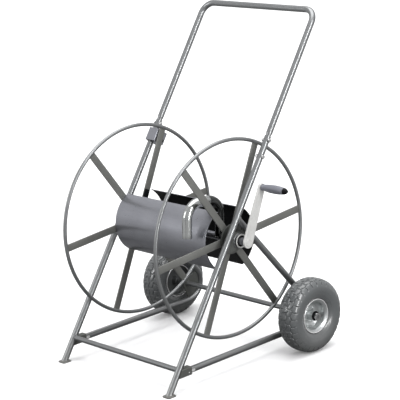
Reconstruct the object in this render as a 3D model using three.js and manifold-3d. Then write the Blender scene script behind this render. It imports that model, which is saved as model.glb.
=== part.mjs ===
// Garden hose reel cart: a steel tube frame on two pneumatic wheels that carries an open drum
// with a crank. Millimetres, +Z up, +X towards the crank side, -Y towards the feet.
// Everything is laid out from the drum's axis; the last lines put the origin on the floor.

import * as THREE from 'three';
import { mergeVertices } from 'three/addons/utils/BufferGeometryUtils.js';
import Module from 'manifold-3d';

const wasm = await Module();
wasm.setup();

// ---------------------------------------------------------------- driving dimensions
const GAP = 0.3;                       // clearance kept between neighbouring pieces
const FACETS = 16;                     // sides of a round tube
const AXIS_HEIGHT = 442.5;             // drum axis above the floor

const TUBE_R = 11;                     // main tube, outside radius
const TUBE_BORE_R = 9;
const LEG_X = 275.5;                   // half the spacing of the two legs
const LEG_ANGLE = THREE.MathUtils.degToRad(55.4);   // lean of the legs from the floor
const LEG_FRONT = 59;                  // leg centre line ahead of the drum axis, at axis height
const LEG_TOP = 395;                   // end of the leg tube, measured along it from axis height

const HANDLE_TOP = 865;                // top bar, measured along the leg from axis height
const HANDLE_BEND_R = 46;
const SPIGOT_R = 8.7;                  // drawn-down end of the handle that slides into the leg
const SPIGOT_LENGTH = 92;
const BOLT_STATIONS = [380, 320];      // handle bolts, along the leg
const BOLT_R = 3;

const CROSSBAR_STATION = -445;         // front crossbar, along the leg
const SLIM_TUBE_R = 9;
const SLIM_BORE_R = 7.2;

const RAIL_Z = -379;                   // floor rail centre line
const STRUT_TOP = [-4, 79];            // y, z where the strut meets the leg
const AXLE = [236.5, -312.5];          // y, z of the wheel axle, and the centre of the rail's bend
const RAIL_BEND_R = 66.5;
const AXLE_R = 9;
const AXLE_COLLAR_R = 13;
const AXLE_END = 393;
const SOCKET_HALF_WIDTH = 12.8;        // socket on the leg that takes the rail's front end
const SOCKET_REAR = -265;
const SOCKET_Z = [-391.8, -363.5];
const RAIL_SLOT_Y = [-260, -253];      // centres of the two round ends of the slot through the rail
const RAIL_SLOT_R = 4.5;
const FOOT_SIZE = 36;
const FOOT_THICKNESS = 4;

const WHEEL_X = 352.4;                 // wheel centre plane
const TYRE_R = 130;
const TYRE_HALF_WIDTH = 44;
const WHEEL_FACETS = 32;

const DRUM_TURN = THREE.MathUtils.degToRad(-4.5);   // how far the drum stands turned at rest
const SPOKE_PHASE = THREE.MathUtils.degToRad(9.3);
const FLANGE_X = 235;                  // middle plane of each flange
const RING_R = 338;
const ROD_R = 6.5;
const SPOKE_WIDTH = 26;
const SPOKE_THICKNESS = 5;
const SPOKE_START = 28;
const DISC_R = 52;
const DISC_THICKNESS = 4;
const SHEET_R = 113.5;
const SHEET_THICKNESS = 2;
const SHEET_HALF_ANGLE = THREE.MathUtils.degToRad(60.5);
const SHAFT_R = 13.4;
const SHAFT_BORE_R = 10;
const SHAFT_LEFT = -300;
const SHAFT_RIGHT = 312.7;

const PIPE_R = 16.9;                   // hose pipe that comes up out of the shaft
const PIPE_BORE_R = 13.7;
const PIPE_X = 182;
const PIPE_PITCH = 150;                // between its two upright runs
const PIPE_TOP = 132;                  // centre line of its level run above the axis
const PIPE_BEND_R = 55;
const PIPE_END_Z = 18;

const BEARING_R = 24;
const BEARING_BORE_R = 19;
const BEARING_X = [258, 286];
const BUSH_COLLAR_R = 22.5;

const CRANK_ANGLE = THREE.MathUtils.degToRad(65.5);
const CRANK_LENGTH = 190;
const CRANK_X = [313, 321];
const CRANK_HUB_R = 20;
const CRANK_TIP_R = 14;
const GRIP_LENGTH = 99;
const GRIP_CAP_LENGTH = 20;
const SPINDLE_R = 4;

const CHANNEL_WALL = 4;                // lock bracket: a channel over the front of the left leg
const CHANNEL_STATIONS = [310, 357];
const CHANNEL_SIDES = [-15.3, 32.5];   // its outer faces across the leg, and the end of each side
const CHANNEL_TAILS = [37, 34];
const CHANNEL_FRONT = -19;
const CHANNEL_BEND_R = 6;
const LOCK_STATION = 325;
const LOCK_OFFSET = 25;
const LOCK_PIN_R = 6;

// ---------------------------------------------------------------- materials
const paint = (color, roughness, metalness) =>
  new THREE.MeshStandardMaterial({ color, roughness, metalness });

const tubeSteel = paint(0x8c8f90, 0.35, 0.9);
const barSteel = paint(0x7d7b75, 0.55, 0.8);
const sheetSteel = paint(0x9a9ca4, 0.35, 0.85);
const brightSteel = paint(0xb4b6b4, 0.2, 1.0);
const castSteel = paint(0xd2d2d0, 0.5, 0.6);
const rimPaint = paint(0xc4c6c6, 0.35, 0.6);
const rubber = paint(0x5f6164, 0.6, 0.0);
const gripPlastic = paint(0x7b7d88, 0.5, 0.0);
const blackPlastic = paint(0x17181c, 0.5, 0.0);
const brass = paint(0xb08d4f, 0.35, 0.9);

// ---------------------------------------------------------------- solids and booleans
function solid(geometry) {
  const plain = geometry.clone();
  for (const name of Object.keys(plain.attributes)) {
    if (name !== 'position') plain.deleteAttribute(name);
  }
  const welded = mergeVertices(plain, 1e-4);
  return new wasm.Manifold(new wasm.Mesh({
    numProp: 3,
    vertProperties: Float32Array.from(welded.attributes.position.array),
    triVerts: Uint32Array.from(welded.index.array),
  }));
}

function geometryOf(body) {
  const mesh = body.getMesh();
  const geometry = new THREE.BufferGeometry();
  geometry.setAttribute('position', new THREE.BufferAttribute(mesh.vertProperties, 3));
  geometry.setIndex(new THREE.BufferAttribute(mesh.triVerts, 1));
  geometry.computeVertexNormals();
  return geometry;
}

function cut(geometry, ...tools) {
  return geometryOf(tools.reduce((body, tool) => body.subtract(solid(tool)), solid(geometry)));
}

function join(geometry, ...others) {
  return geometryOf(others.reduce((body, other) => body.add(solid(other)), solid(geometry)));
}

// A turned piece about +X. The profile is a list of [x, r] pairs that closes on itself.
function turned(profile, facets = FACETS) {
  const points = [...profile, profile[0]].map(([x, r]) => new THREE.Vector2(r, x));
  return new THREE.LatheGeometry(points, facets).rotateZ(-Math.PI / 2);
}

// A solid rod about +X from x0 to x1.
function rod(radius, x0, x1, facets = FACETS) {
  const points = [[0, x0], [radius, x0], [radius, x1], [0, x1]].map(([r, x]) => new THREE.Vector2(r, x));
  return new THREE.LatheGeometry(points, facets).rotateZ(-Math.PI / 2);
}

// A straight pipe about +X.
function pipe(outer, bore, x0, x1, facets = FACETS) {
  return turned([[x0, bore], [x0, outer], [x1, outer], [x1, bore]], facets);
}

// A hexagon head or nut about +X, with an optional hole.
function hexagon(acrossFlats, x0, x1, holeRadius = 0) {
  const shape = new THREE.Shape();
  const corner = acrossFlats / Math.sqrt(3);
  for (let i = 0; i < 6; i += 1) {
    const angle = (i * Math.PI) / 3;
    const point = [corner * Math.cos(angle), corner * Math.sin(angle)];
    if (i === 0) shape.moveTo(...point);
    else shape.lineTo(...point);
  }
  shape.closePath();
  if (holeRadius > 0) shape.holes.push(circle(holeRadius));
  return plate(shape, x0, x1, 10);
}

function circle(radius, cy = 0, cz = 0) {
  return new THREE.Path().absarc(cy, cz, radius, 0, 2 * Math.PI, true);
}

// A flat plate: a shape drawn in (y, z) and given its thickness from x0 to x1.
function plate(shape, x0, x1, curveSegments = 8) {
  const geometry = new THREE.ExtrudeGeometry(shape, { depth: x1 - x0, bevelEnabled: false, curveSegments });
  const axes = new THREE.Matrix4().makeBasis(
    new THREE.Vector3(0, 1, 0), new THREE.Vector3(0, 0, 1), new THREE.Vector3(1, 0, 0));
  return geometry.applyMatrix4(axes).translate(x0, 0, 0);
}

// A path of straight runs and round bends that an extrusion follows station by station,
// so that a straight run costs one step and each bend a few.
class TubePath extends THREE.Curve {
  constructor(corners, bendRadius, bendSteps) {
    super();
    this.stations = [];
    const place = (point, tangent) => this.stations.push({ point, tangent });
    const heading = (a, b) => b.clone().sub(a).normalize();
    place(corners[0].clone(), heading(corners[0], corners[1]));
    for (let i = 1; i < corners.length - 1; i += 1) {
      const before = heading(corners[i - 1], corners[i]);
      const after = heading(corners[i], corners[i + 1]);
      const turn = before.angleTo(after);
      const back = bendRadius * Math.tan(turn / 2);
      const side = after.clone().addScaledVector(before, -Math.cos(turn)).normalize();
      const start = corners[i].clone().addScaledVector(before, -back);
      for (let k = 0; k <= bendSteps; k += 1) {
        const angle = (turn * k) / bendSteps;
        const point = start.clone()
          .addScaledVector(before, bendRadius * Math.sin(angle))
          .addScaledVector(side, bendRadius * (1 - Math.cos(angle)));
        const tangent = before.clone().multiplyScalar(Math.cos(angle)).addScaledVector(side, Math.sin(angle));
        place(point, tangent);
      }
    }
    const last = corners.length - 1;
    place(corners[last].clone(), heading(corners[last - 1], corners[last]));
  }

  get steps() {
    return this.stations.length - 1;
  }

  at(u) {
    const along = u * this.steps;
    const index = Math.min(Math.floor(along + 1e-9), this.steps - 1);
    return [this.stations[index], this.stations[index + 1], along - index];
  }

  getPointAt(u) {
    const [a, b, t] = this.at(u);
    return a.point.clone().lerp(b.point, t);
  }

  getPoint(u) {
    return this.getPointAt(u);
  }

  getTangentAt(u) {
    const [a, b, t] = this.at(u);
    return a.tangent.clone().lerp(b.tangent, t).normalize();
  }
}

function bentTube(corners, bendRadius, outer, bore, bendSteps = 6) {
  const path = new TubePath(corners, bendRadius, bendSteps);
  const section = new THREE.Shape().absarc(0, 0, outer, 0, 2 * Math.PI, false);
  if (bore > 0) section.holes.push(circle(bore));
  return new THREE.ExtrudeGeometry(section, {
    steps: path.steps, extrudePath: path, bevelEnabled: false, curveSegments: FACETS / 2,
  });
}

// ---------------------------------------------------------------- the leg's own line
// station runs up the leg from axis height, offset runs square to it towards the rear.
function onLeg(x, station, offset = 0) {
  return new THREE.Vector3(
    x,
    -LEG_FRONT + station * Math.cos(LEG_ANGLE) + offset * Math.sin(LEG_ANGLE),
    station * Math.sin(LEG_ANGLE) - offset * Math.cos(LEG_ANGLE));
}

const legStationAt = (z) => z / Math.sin(LEG_ANGLE);

// Moves a piece drawn with the leg along +Z and the rear along +Y onto the leg at one station.
function ontoLeg(geometry, x, station) {
  const place = onLeg(x, station);
  return geometry.rotateX(LEG_ANGLE - Math.PI / 2).translate(place.x, place.y, place.z);
}

function legRod(x, radius, from, to, facets = FACETS) {
  const bar = rod(radius, from, to, facets).rotateY(-Math.PI / 2);
  return ontoLeg(bar, x, 0);
}

// A drill along X through the leg at one station.
function legDrill(x, station, radius, reach = 30) {
  const place = onLeg(x, station);
  return rod(radius, -reach, reach, 12).translate(place.x, place.y, place.z);
}

// ---------------------------------------------------------------- frame
const FLOOR = -AXIS_HEIGHT;
const legBottom = FLOOR + FOOT_THICKNESS + GAP;

function legTube(side) {
  const x = side * LEG_X;
  const low = legStationAt(legBottom) - 20;
  const tube = ontoLeg(pipe(TUBE_R, TUBE_BORE_R, low, LEG_TOP).rotateY(-Math.PI / 2), x, 0);
  const below = new THREE.BoxGeometry(100, 100, 60)
    .translate(x, onLeg(x, legStationAt(legBottom)).y, legBottom - 30);
  const drills = BOLT_STATIONS.map((station) => legDrill(x, station, BOLT_R + GAP));
  return cut(tube, below, ...drills);
}

function foot(side) {
  const half = FOOT_SIZE / 2;
  const round = 7;
  const shape = new THREE.Shape();
  for (const [cx, cy, from] of [[1, 1, 0], [-1, 1, 1], [-1, -1, 2], [1, -1, 3]]) {
    shape.absarc(cx * (half - round), cy * (half - round), round, (from * Math.PI) / 2, ((from + 1) * Math.PI) / 2);
  }
  const pad = new THREE.ExtrudeGeometry(shape, { depth: FOOT_THICKNESS, bevelEnabled: false, curveSegments: 4 });
  return pad.translate(side * LEG_X, onLeg(0, legStationAt(legBottom)).y, FLOOR);
}

function handleTube() {
  const bottom = LEG_TOP + GAP;
  const corners = [
    onLeg(LEG_X, bottom), onLeg(LEG_X, HANDLE_TOP), onLeg(-LEG_X, HANDLE_TOP), onLeg(-LEG_X, bottom),
  ];
  const hoop = bentTube(corners, HANDLE_BEND_R, TUBE_R, SPIGOT_R - 0.6);
  const spigots = [-LEG_X, LEG_X].map((x) =>
    ontoLeg(pipe(SPIGOT_R, SPIGOT_R - 2, LEG_TOP - SPIGOT_LENGTH, bottom + 6).rotateY(-Math.PI / 2), x, 0));
  const drills = [];
  for (const x of [-LEG_X, LEG_X]) {
    for (const station of BOLT_STATIONS) drills.push(legDrill(x, station, BOLT_R + GAP));
  }
  return cut(join(hoop, ...spigots), ...drills);
}

function frontCrossbar() {
  const place = onLeg(0, CROSSBAR_STATION);
  const bar = pipe(SLIM_TUBE_R, SLIM_BORE_R, -LEG_X, LEG_X).translate(0, place.y, place.z);
  const legs = [-LEG_X, LEG_X].map((x) =>
    legRod(x, TUBE_R + GAP, CROSSBAR_STATION - 60, CROSSBAR_STATION + 60, 24));
  const rails = [-LEG_X, LEG_X].map((x) =>
    rod(TUBE_R + 2 * GAP, -40, 40, 24).rotateZ(Math.PI / 2).translate(x, place.y, RAIL_Z));
  return cut(bar, ...legs, ...rails);
}

// Floor rail and strut: one tube that runs back from the leg, round the axle and up to the leg.
const [AXLE_Y, AXLE_Z] = AXLE;
// The strut's direction is the tangent from its top end to the circle of the bend.
const topFromAxle = new THREE.Vector2(STRUT_TOP[0] - AXLE_Y, STRUT_TOP[1] - AXLE_Z);
const strutNormal = topFromAxle.angle() - Math.acos(RAIL_BEND_R / topFromAxle.length());
const strutRun = new THREE.Vector2(-Math.sin(strutNormal), Math.cos(strutNormal));
const strutY = (z) => STRUT_TOP[0] + ((z - STRUT_TOP[1]) * strutRun.x) / strutRun.y;

function sideTube(side) {
  const x = side * LEG_X;
  const railStart = new THREE.Vector3(x, onLeg(x, legStationAt(RAIL_Z)).y, RAIL_Z);
  const corner = new THREE.Vector3(x, strutY(RAIL_Z), RAIL_Z);
  const strutEnd = new THREE.Vector3(x, ...STRUT_TOP);
  const tube = bentTube([railStart, corner, strutEnd], RAIL_BEND_R, TUBE_R, TUBE_BORE_R, 9);
  const slot = new THREE.Shape();
  slot.absarc(RAIL_SLOT_Y[1], RAIL_Z, RAIL_SLOT_R, -Math.PI / 2, Math.PI / 2, false);
  slot.absarc(RAIL_SLOT_Y[0], RAIL_Z, RAIL_SLOT_R, Math.PI / 2, (3 / 2) * Math.PI, false);
  slot.closePath();
  return cut(tube, legRod(x, TUBE_R + GAP, -600, 300, 24), plate(slot, x - 20, x + 20, 6));
}

// Folded sleeve on the back of the leg; the rail's front end sits in it.
function railSocket(side) {
  const x = side * LEG_X;
  const crossbar = onLeg(0, CROSSBAR_STATION);
  const front = crossbar.y;
  const [low, high] = SOCKET_Z;
  const sleeve = new THREE.BoxGeometry(2 * SOCKET_HALF_WIDTH, SOCKET_REAR - front, high - low)
    .translate(x, (SOCKET_REAR + front) / 2, (low + high) / 2);
  const rail = rod(TUBE_R + 2 * GAP, front - 20, SOCKET_REAR + 20, 24).rotateZ(Math.PI / 2).translate(x, 0, RAIL_Z);
  const bar = rod(SLIM_TUBE_R + 2 * GAP, -LEG_X, LEG_X, 24).translate(0, crossbar.y, crossbar.z);
  return cut(sleeve, legRod(x, TUBE_R + GAP, -600, 0, 24), rail, bar);
}

// Web inside the rail's bend that carries the axle.
function axleGusset(side) {
  const reach = RAIL_BEND_R - TUBE_R - 3 * GAP;
  const boss = 20;
  const shape = new THREE.Shape();
  shape.absarc(AXLE_Y, AXLE_Z, reach, -Math.PI / 2, strutNormal, false);
  shape.absarc(AXLE_Y, AXLE_Z, boss, strutNormal + Math.PI / 3, (7 / 6) * Math.PI, false);
  shape.closePath();
  shape.holes.push(circle(AXLE_R + GAP, AXLE_Y, AXLE_Z));
  return plate(shape, side * LEG_X - 3, side * LEG_X + 3, 10);
}

function wheelAxle() {
  const collar = [LEG_X + 3 + GAP, WHEEL_X - 32 - GAP];
  const profile = [
    [-AXLE_END, AXLE_R], [-collar[1], AXLE_R], [-collar[1], AXLE_COLLAR_R], [-collar[0], AXLE_COLLAR_R],
    [-collar[0], AXLE_R], [collar[0], AXLE_R], [collar[0], AXLE_COLLAR_R], [collar[1], AXLE_COLLAR_R],
    [collar[1], AXLE_R], [AXLE_END, AXLE_R],
  ];
  const points = [[-AXLE_END, 0], ...profile, [AXLE_END, 0]].map(([x, r]) => new THREE.Vector2(r, x));
  return new THREE.LatheGeometry(points, FACETS).rotateZ(-Math.PI / 2).translate(0, AXLE_Y, AXLE_Z);
}

function bearingTube(side) {
  const [inner, outer] = BEARING_X;
  return pipe(BEARING_R, BEARING_BORE_R, side > 0 ? inner : -outer, side > 0 ? outer : -inner, 24);
}

function bearingBush(side) {
  const [inner, outer] = BEARING_X;
  const bore = SHAFT_R + 0.4;
  const sleeve = BEARING_BORE_R - GAP;
  const profile = [
    [inner - 5, bore], [inner - 5, BUSH_COLLAR_R], [inner - GAP, BUSH_COLLAR_R], [inner - GAP, sleeve],
    [outer - 5, sleeve], [outer - 5, bore],
  ];
  const bush = turned(profile, 24);
  return side > 0 ? bush : bush.rotateY(Math.PI);
}

// Plate between the leg and the strut that holds the bearing tube.
function bearingGusset(side) {
  const half = 30;
  const clear = TUBE_R + GAP;
  const front = (z) => -LEG_FRONT + z / Math.tan(LEG_ANGLE) + clear / Math.sin(LEG_ANGLE);
  const rear = (z) => strutY(z) - clear / strutRun.y;
  const shape = new THREE.Shape();
  shape.moveTo(front(-half), -half);
  shape.lineTo(rear(-half), -half);
  shape.lineTo(rear(half), half);
  shape.lineTo(front(half), half);
  shape.closePath();
  shape.holes.push(circle(BEARING_R + GAP));
  const middle = side * (LEG_X - 4);
  return plate(shape, middle - 2.5, middle + 2.5, 12);
}

// ---------------------------------------------------------------- fasteners of the handle
// The left lower bolt also holds the lock bracket's outer side, so its head sits further out.
function headSeat(side, station) {
  const throughChannel = side < 0 && station === BOLT_STATIONS[1];
  return TUBE_R + GAP + (throughChannel ? CHANNEL_WALL + GAP : 0);
}

function handleBolt(side, station) {
  const seat = headSeat(side, station);
  const head = hexagon(12, seat, seat + 5);
  const shank = rod(BOLT_R, -TUBE_R - 8.8, seat + 1, 10);
  const bolt = join(head, shank);
  if (side < 0) bolt.rotateY(Math.PI);
  const place = onLeg(side * LEG_X, station);
  return bolt.translate(place.x, place.y, place.z);
}

function handleNut(side, station) {
  const seat = TUBE_R + GAP;
  const nut = hexagon(12, -seat - 6.5, -seat, BOLT_R + GAP);
  if (side < 0) nut.rotateY(Math.PI);
  const place = onLeg(side * LEG_X, station);
  return nut.translate(place.x, place.y, place.z);
}

// ---------------------------------------------------------------- drum lock
// A channel bent round the front of the left leg; its two sides guide the lock pin.
function lockBracket() {
  const [near, far] = CHANNEL_SIDES;
  const [nearTail, farTail] = CHANNEL_TAILS;
  const [low, high] = CHANNEL_STATIONS;
  const bend = CHANNEL_BEND_R;
  const crease = CHANNEL_FRONT + bend;
  const section = new THREE.Shape();
  section.moveTo(far, farTail);
  section.absarc(far - bend, crease, bend, 0, -Math.PI / 2, true);
  section.absarc(near + bend, crease, bend, -Math.PI / 2, -Math.PI, true);
  section.lineTo(near, nearTail);
  section.lineTo(near + CHANNEL_WALL, nearTail);
  section.absarc(near + bend, crease, bend - CHANNEL_WALL, Math.PI, (3 / 2) * Math.PI, false);
  section.absarc(far - bend, crease, bend - CHANNEL_WALL, (3 / 2) * Math.PI, 2 * Math.PI, false);
  section.lineTo(far - CHANNEL_WALL, farTail);
  section.closePath();
  const channel = new THREE.ExtrudeGeometry(section, { depth: high - low, bevelEnabled: false, curveSegments: 4 });
  const seated = ontoLeg(channel.translate(0, 0, low), -LEG_X, 0);
  const boltPlace = onLeg(-LEG_X, BOLT_STATIONS[1]);
  const boltHole = rod(BOLT_R + GAP, -30, 0, 12).translate(boltPlace.x, boltPlace.y, boltPlace.z);
  const pinPlace = onLeg(-LEG_X, LOCK_STATION, LOCK_OFFSET);
  const pinHole = rod(LOCK_PIN_R + GAP + 0.1, -30, 50, 20).translate(pinPlace.x, pinPlace.y, pinPlace.z);
  const slots = [-7, 3].map((y) => {
    const slot = new THREE.BoxGeometry(20, 4, 18).translate(far, y, high - 13);
    return ontoLeg(slot, -LEG_X, 0);
  });
  return cut(seated, boltHole, pinHole, ...slots);
}

function lockPin() {
  const nose = -LEG_X + CHANNEL_SIDES[1];
  const outer = -LEG_X + CHANNEL_SIDES[0];
  const profile = [
    [outer - 32, 0], [outer - 32, 8], [outer - 28, 11.5], [outer - 20, 11.5], [outer - 17, 7.5],
    [outer - 17, LOCK_PIN_R], [nose - 3, LOCK_PIN_R], [nose, LOCK_PIN_R - 2.5], [nose, 0],
  ];
  const points = profile.map(([x, r]) => new THREE.Vector2(r, x));
  const place = onLeg(0, LOCK_STATION, LOCK_OFFSET);
  return new THREE.LatheGeometry(points, 20).rotateZ(-Math.PI / 2).translate(0, place.y, place.z);
}

// ---------------------------------------------------------------- drum, drawn before its turn
function ring() {
  return new THREE.TorusGeometry(RING_R, ROD_R, 8, 60).rotateY(Math.PI / 2);
}

function spoke() {
  const end = RING_R - ROD_R - 3 * GAP;
  return new THREE.BoxGeometry(SPOKE_THICKNESS, end - SPOKE_START, SPOKE_WIDTH)
    .translate(0, (end + SPOKE_START) / 2, 0);
}

function hubDisc(side) {
  const inner = FLANGE_X + SPOKE_THICKNESS / 2 + GAP;
  const disc = pipe(DISC_R, SHAFT_R + GAP, inner, inner + DISC_THICKNESS, 32);
  return side > 0 ? disc : disc.rotateY(Math.PI);
}

function drumSheet(middleAngle) {
  const outer = SHEET_R + SHEET_THICKNESS / 2;
  const inner = SHEET_R - SHEET_THICKNESS / 2;
  const from = middleAngle - SHEET_HALF_ANGLE;
  const to = middleAngle + SHEET_HALF_ANGLE;
  const shape = new THREE.Shape();
  shape.absarc(0, 0, outer, from, to, false);
  shape.absarc(0, 0, inner, to, from, true);
  shape.closePath();
  const half = FLANGE_X - SPOKE_THICKNESS / 2 - GAP;
  return plate(shape, -half, half, 16);
}

function drumShaft() {
  const blank = rod(SHAFT_R, SHAFT_LEFT, SHAFT_RIGHT, 24);
  const bore = rod(SHAFT_BORE_R, SHAFT_LEFT - 10, PIPE_X + 20, 16);
  const port = rod(SHAFT_BORE_R, 0, 40, 16).rotateY(-Math.PI / 2).translate(PIPE_X, 0, 0);
  return cut(blank, bore, port);
}

function gooseNeck() {
  const corners = [[0, 0], [0, PIPE_TOP], [-PIPE_PITCH, PIPE_TOP], [-PIPE_PITCH, PIPE_END_Z]]
    .map(([y, z]) => new THREE.Vector3(PIPE_X, y, z));
  const tube = bentTube(corners, PIPE_BEND_R, PIPE_R, PIPE_BORE_R, 6);
  return cut(tube, rod(SHAFT_R + GAP, PIPE_X - 40, PIPE_X + 40, 32));
}

function crankArm() {
  // Two circles joined by their outer tangents.
  const lean = Math.asin((CRANK_HUB_R - CRANK_TIP_R) / CRANK_LENGTH);
  const shape = new THREE.Shape();
  shape.absarc(0, 0, CRANK_HUB_R, Math.PI / 2 - lean, -Math.PI / 2 + lean, false);
  shape.absarc(CRANK_LENGTH, 0, CRANK_TIP_R, -Math.PI / 2 + lean, Math.PI / 2 - lean, false);
  shape.closePath();
  shape.holes.push(circle(SPINDLE_R + GAP, CRANK_LENGTH, 0));
  const arm = plate(shape, CRANK_X[0], CRANK_X[1], 12);
  return arm.rotateX(CRANK_ANGLE);
}

const gripPlace = [CRANK_LENGTH * Math.cos(CRANK_ANGLE), CRANK_LENGTH * Math.sin(CRANK_ANGLE)];

function gripSpindle() {
  const [inner, outer] = CRANK_X;
  const end = outer + GRIP_LENGTH - 4;
  const profile = [
    [inner - 4, 0], [inner - 4, 7], [inner - GAP, 7], [inner - GAP, SPINDLE_R], [end - 4, SPINDLE_R],
    [end - 4, SPINDLE_R + 2.5], [end, SPINDLE_R + 2.5], [end, 0],
  ];
  const points = profile.map(([x, r]) => new THREE.Vector2(r, x));
  return new THREE.LatheGeometry(points, 12).rotateZ(-Math.PI / 2).translate(0, ...gripPlace);
}

function crankGrip() {
  const start = CRANK_X[1] + 1;
  const end = start + GRIP_LENGTH;
  const bore = SPINDLE_R + 0.5;
  const pocket = SPINDLE_R + 3.2;
  const swell = [[0, 10.5], [0.04, 11.5], [0.3, 13.6], [0.6, 14.6], [0.85, 13.2], [1, 11.4]];
  const profile = [
    [start, bore], ...swell.map(([t, r]) => [start + t * GRIP_LENGTH, r]),
    [end, pocket], [end - 16, pocket], [end - 16, bore],
  ];
  return turned(profile, 20).translate(0, ...gripPlace);
}

function gripCap() {
  const start = CRANK_X[1] + 1 + GRIP_LENGTH + GAP;
  const profile = [[0, 0], [0, 11.2], [0.35, 10.4], [0.7, 7.6], [0.92, 4], [1, 0]];
  const points = profile.map(([t, r]) => new THREE.Vector2(r, start + t * GRIP_CAP_LENGTH));
  return new THREE.LatheGeometry(points, 20).rotateZ(-Math.PI / 2).translate(0, ...gripPlace);
}

// Hose tail on the left end of the shaft; it turns freely on it.
function inletSwivel() {
  const mouth = -BEARING_X[1] - 4;
  const closed = -338;
  const knuckle = (mouth + closed) / 2 - 6;
  const body = rod(19, closed, mouth, 20);
  const seat = rod(SHAFT_R + 0.5, SHAFT_LEFT - GAP, 0, 24);
  const chamber = rod(SHAFT_BORE_R - 1, closed + 8, 0, 16);
  const barbs = [[0, 0], [10, 0], [10, 24], [8.4, 24], [10, 34], [8.4, 34], [10, 44], [8, 52], [0, 52]];
  const tail = new THREE.LatheGeometry(barbs.map(([r, x]) => new THREE.Vector2(r, x)), 16)
    .rotateX(-Math.PI / 2).translate(knuckle, 0, -14);
  const waterway = rod(6, 0, 90, 12).rotateY(Math.PI / 2).translate(knuckle, 0, 0);
  return cut(join(body, tail), seat, chamber, waterway);
}

// ---------------------------------------------------------------- wheels, drawn at their own centre
function tyre() {
  const half = TYRE_HALF_WIDTH;
  const outside = [
    [-30, 61], [-38, 72], [-half, 90], [-40, 111], [-33, 122], [-18, TYRE_R],
    [18, TYRE_R], [33, 122], [40, 111], [half, 90], [38, 72], [30, 61],
  ];
  const inside = [[22, 62], [31, 74], [36, 92], [28, 114], [-28, 114], [-36, 92], [-31, 74], [-22, 62]];
  return turned([...outside, ...inside], WHEEL_FACETS);
}

function rim() {
  // The disc lies deep behind the outboard lip, so the two faces differ.
  const outboard = [
    [32, AXLE_R + 0.4], [32, 16.5], [-3, 16.5], [-4, 32], [3, 44], [22, 49.5], [29.5, 57], [29.5, 60.4],
    [26.5, 60.4], [21, 55], [8, 51],
  ];
  const inboard = [
    [-8, 51], [-21, 55], [-26.5, 60.4], [-29.5, 60.4], [-29.5, 57], [-24, 51], [-11, 45], [-9, 32], [-9, 16.5],
    [-32, 16.5], [-32, AXLE_R + 0.4],
  ];
  return turned([...outboard, ...inboard].reverse(), WHEEL_FACETS);
}

function axleNut() {
  const start = WHEEL_X + 32 + GAP;
  return hexagon(26, start, start + 8, AXLE_R + GAP);
}

// ---------------------------------------------------------------- assembly
const cart = new THREE.Group();

function add(parent, name, geometry, material) {
  const mesh = new THREE.Mesh(geometry, material);
  mesh.name = name;
  parent.add(mesh);
  return mesh;
}

const frame = new THREE.Group();
cart.add(frame);
const sides = [['left', -1], ['right', 1]];

for (const [word, side] of sides) {
  add(frame, `${word}_leg_tube`, legTube(side), tubeSteel);
  add(frame, `${word}_foot`, foot(side), barSteel);
  add(frame, `${word}_side_tube`, sideTube(side), tubeSteel);
  add(frame, `${word}_rail_socket`, railSocket(side), barSteel);
  add(frame, `${word}_axle_gusset`, axleGusset(side), barSteel);
  add(frame, `${word}_bearing_tube`, bearingTube(side), tubeSteel);
  add(frame, `${word}_bearing_gusset`, bearingGusset(side), barSteel);
  add(frame, `${word}_bearing_bush`, bearingBush(side), blackPlastic);
  BOLT_STATIONS.forEach((station, index) => {
    const level = ['upper', 'lower'][index];
    add(frame, `${word}_${level}_handle_bolt`, handleBolt(side, station), brightSteel);
    add(frame, `${word}_${level}_handle_nut`, handleNut(side, station), brightSteel);
  });
  const nut = add(frame, `${word}_axle_nut`, axleNut(), brightSteel);
  nut.position.set(0, AXLE_Y, AXLE_Z);
  if (side < 0) nut.rotation.y = Math.PI;
}
add(frame, 'handle_tube', handleTube(), tubeSteel);
add(frame, 'front_crossbar', frontCrossbar(), tubeSteel);
add(frame, 'wheel_axle', wheelAxle(), barSteel);
add(frame, 'lock_bracket', lockBracket(), sheetSteel);
add(frame, 'drum_lock_pin', lockPin(), blackPlastic);

const drum = new THREE.Group();
drum.rotation.x = DRUM_TURN;
cart.add(drum);

for (const [word, side] of sides) {
  add(drum, `${word}_ring`, ring(), tubeSteel).position.x = side * FLANGE_X;
  add(drum, `${word}_hub_disc`, hubDisc(side), barSteel);
  for (let i = 0; i < 6; i += 1) {
    const bar = add(drum, `${word}_spoke_${i + 1}`, spoke(), barSteel);
    bar.position.x = side * FLANGE_X;
    bar.rotation.x = SPOKE_PHASE + (i * Math.PI) / 3;
  }
}
add(drum, 'front_drum_sheet', drumSheet(Math.PI), sheetSteel);
add(drum, 'rear_drum_sheet', drumSheet(0), sheetSteel);
add(drum, 'drum_shaft', drumShaft(), barSteel);
add(drum, 'goose_neck_pipe', gooseNeck(), brightSteel);

const crank = new THREE.Group();
cart.add(crank);
add(crank, 'crank_arm', crankArm(), castSteel);
add(crank, 'grip_spindle', gripSpindle(), brightSteel);
add(crank, 'crank_grip', crankGrip(), gripPlastic);
add(crank, 'grip_cap', gripCap(), blackPlastic);
add(cart, 'inlet_swivel', inletSwivel(), brass);

for (const [word, side] of sides) {
  const wheel = new THREE.Group();
  wheel.position.set(side * WHEEL_X, AXLE_Y, AXLE_Z);
  wheel.rotation.x = Math.PI / 2;
  cart.add(wheel);
  add(wheel, `${word}_tyre`, tyre(), rubber);
  const disc = add(wheel, `${word}_rim`, rim(), rimPaint);
  if (side < 0) disc.rotation.y = Math.PI;
}

// The origin stands on the floor, under the middle of the cart's outer box.
const box = new THREE.Box3().setFromObject(cart);
const middle = box.getCenter(new THREE.Vector3());
cart.position.set(-middle.x, -middle.y, -box.min.z);
cart.updateMatrixWorld(true);

export default cart;
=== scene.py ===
from math import cos, pi, radians, sin

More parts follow.
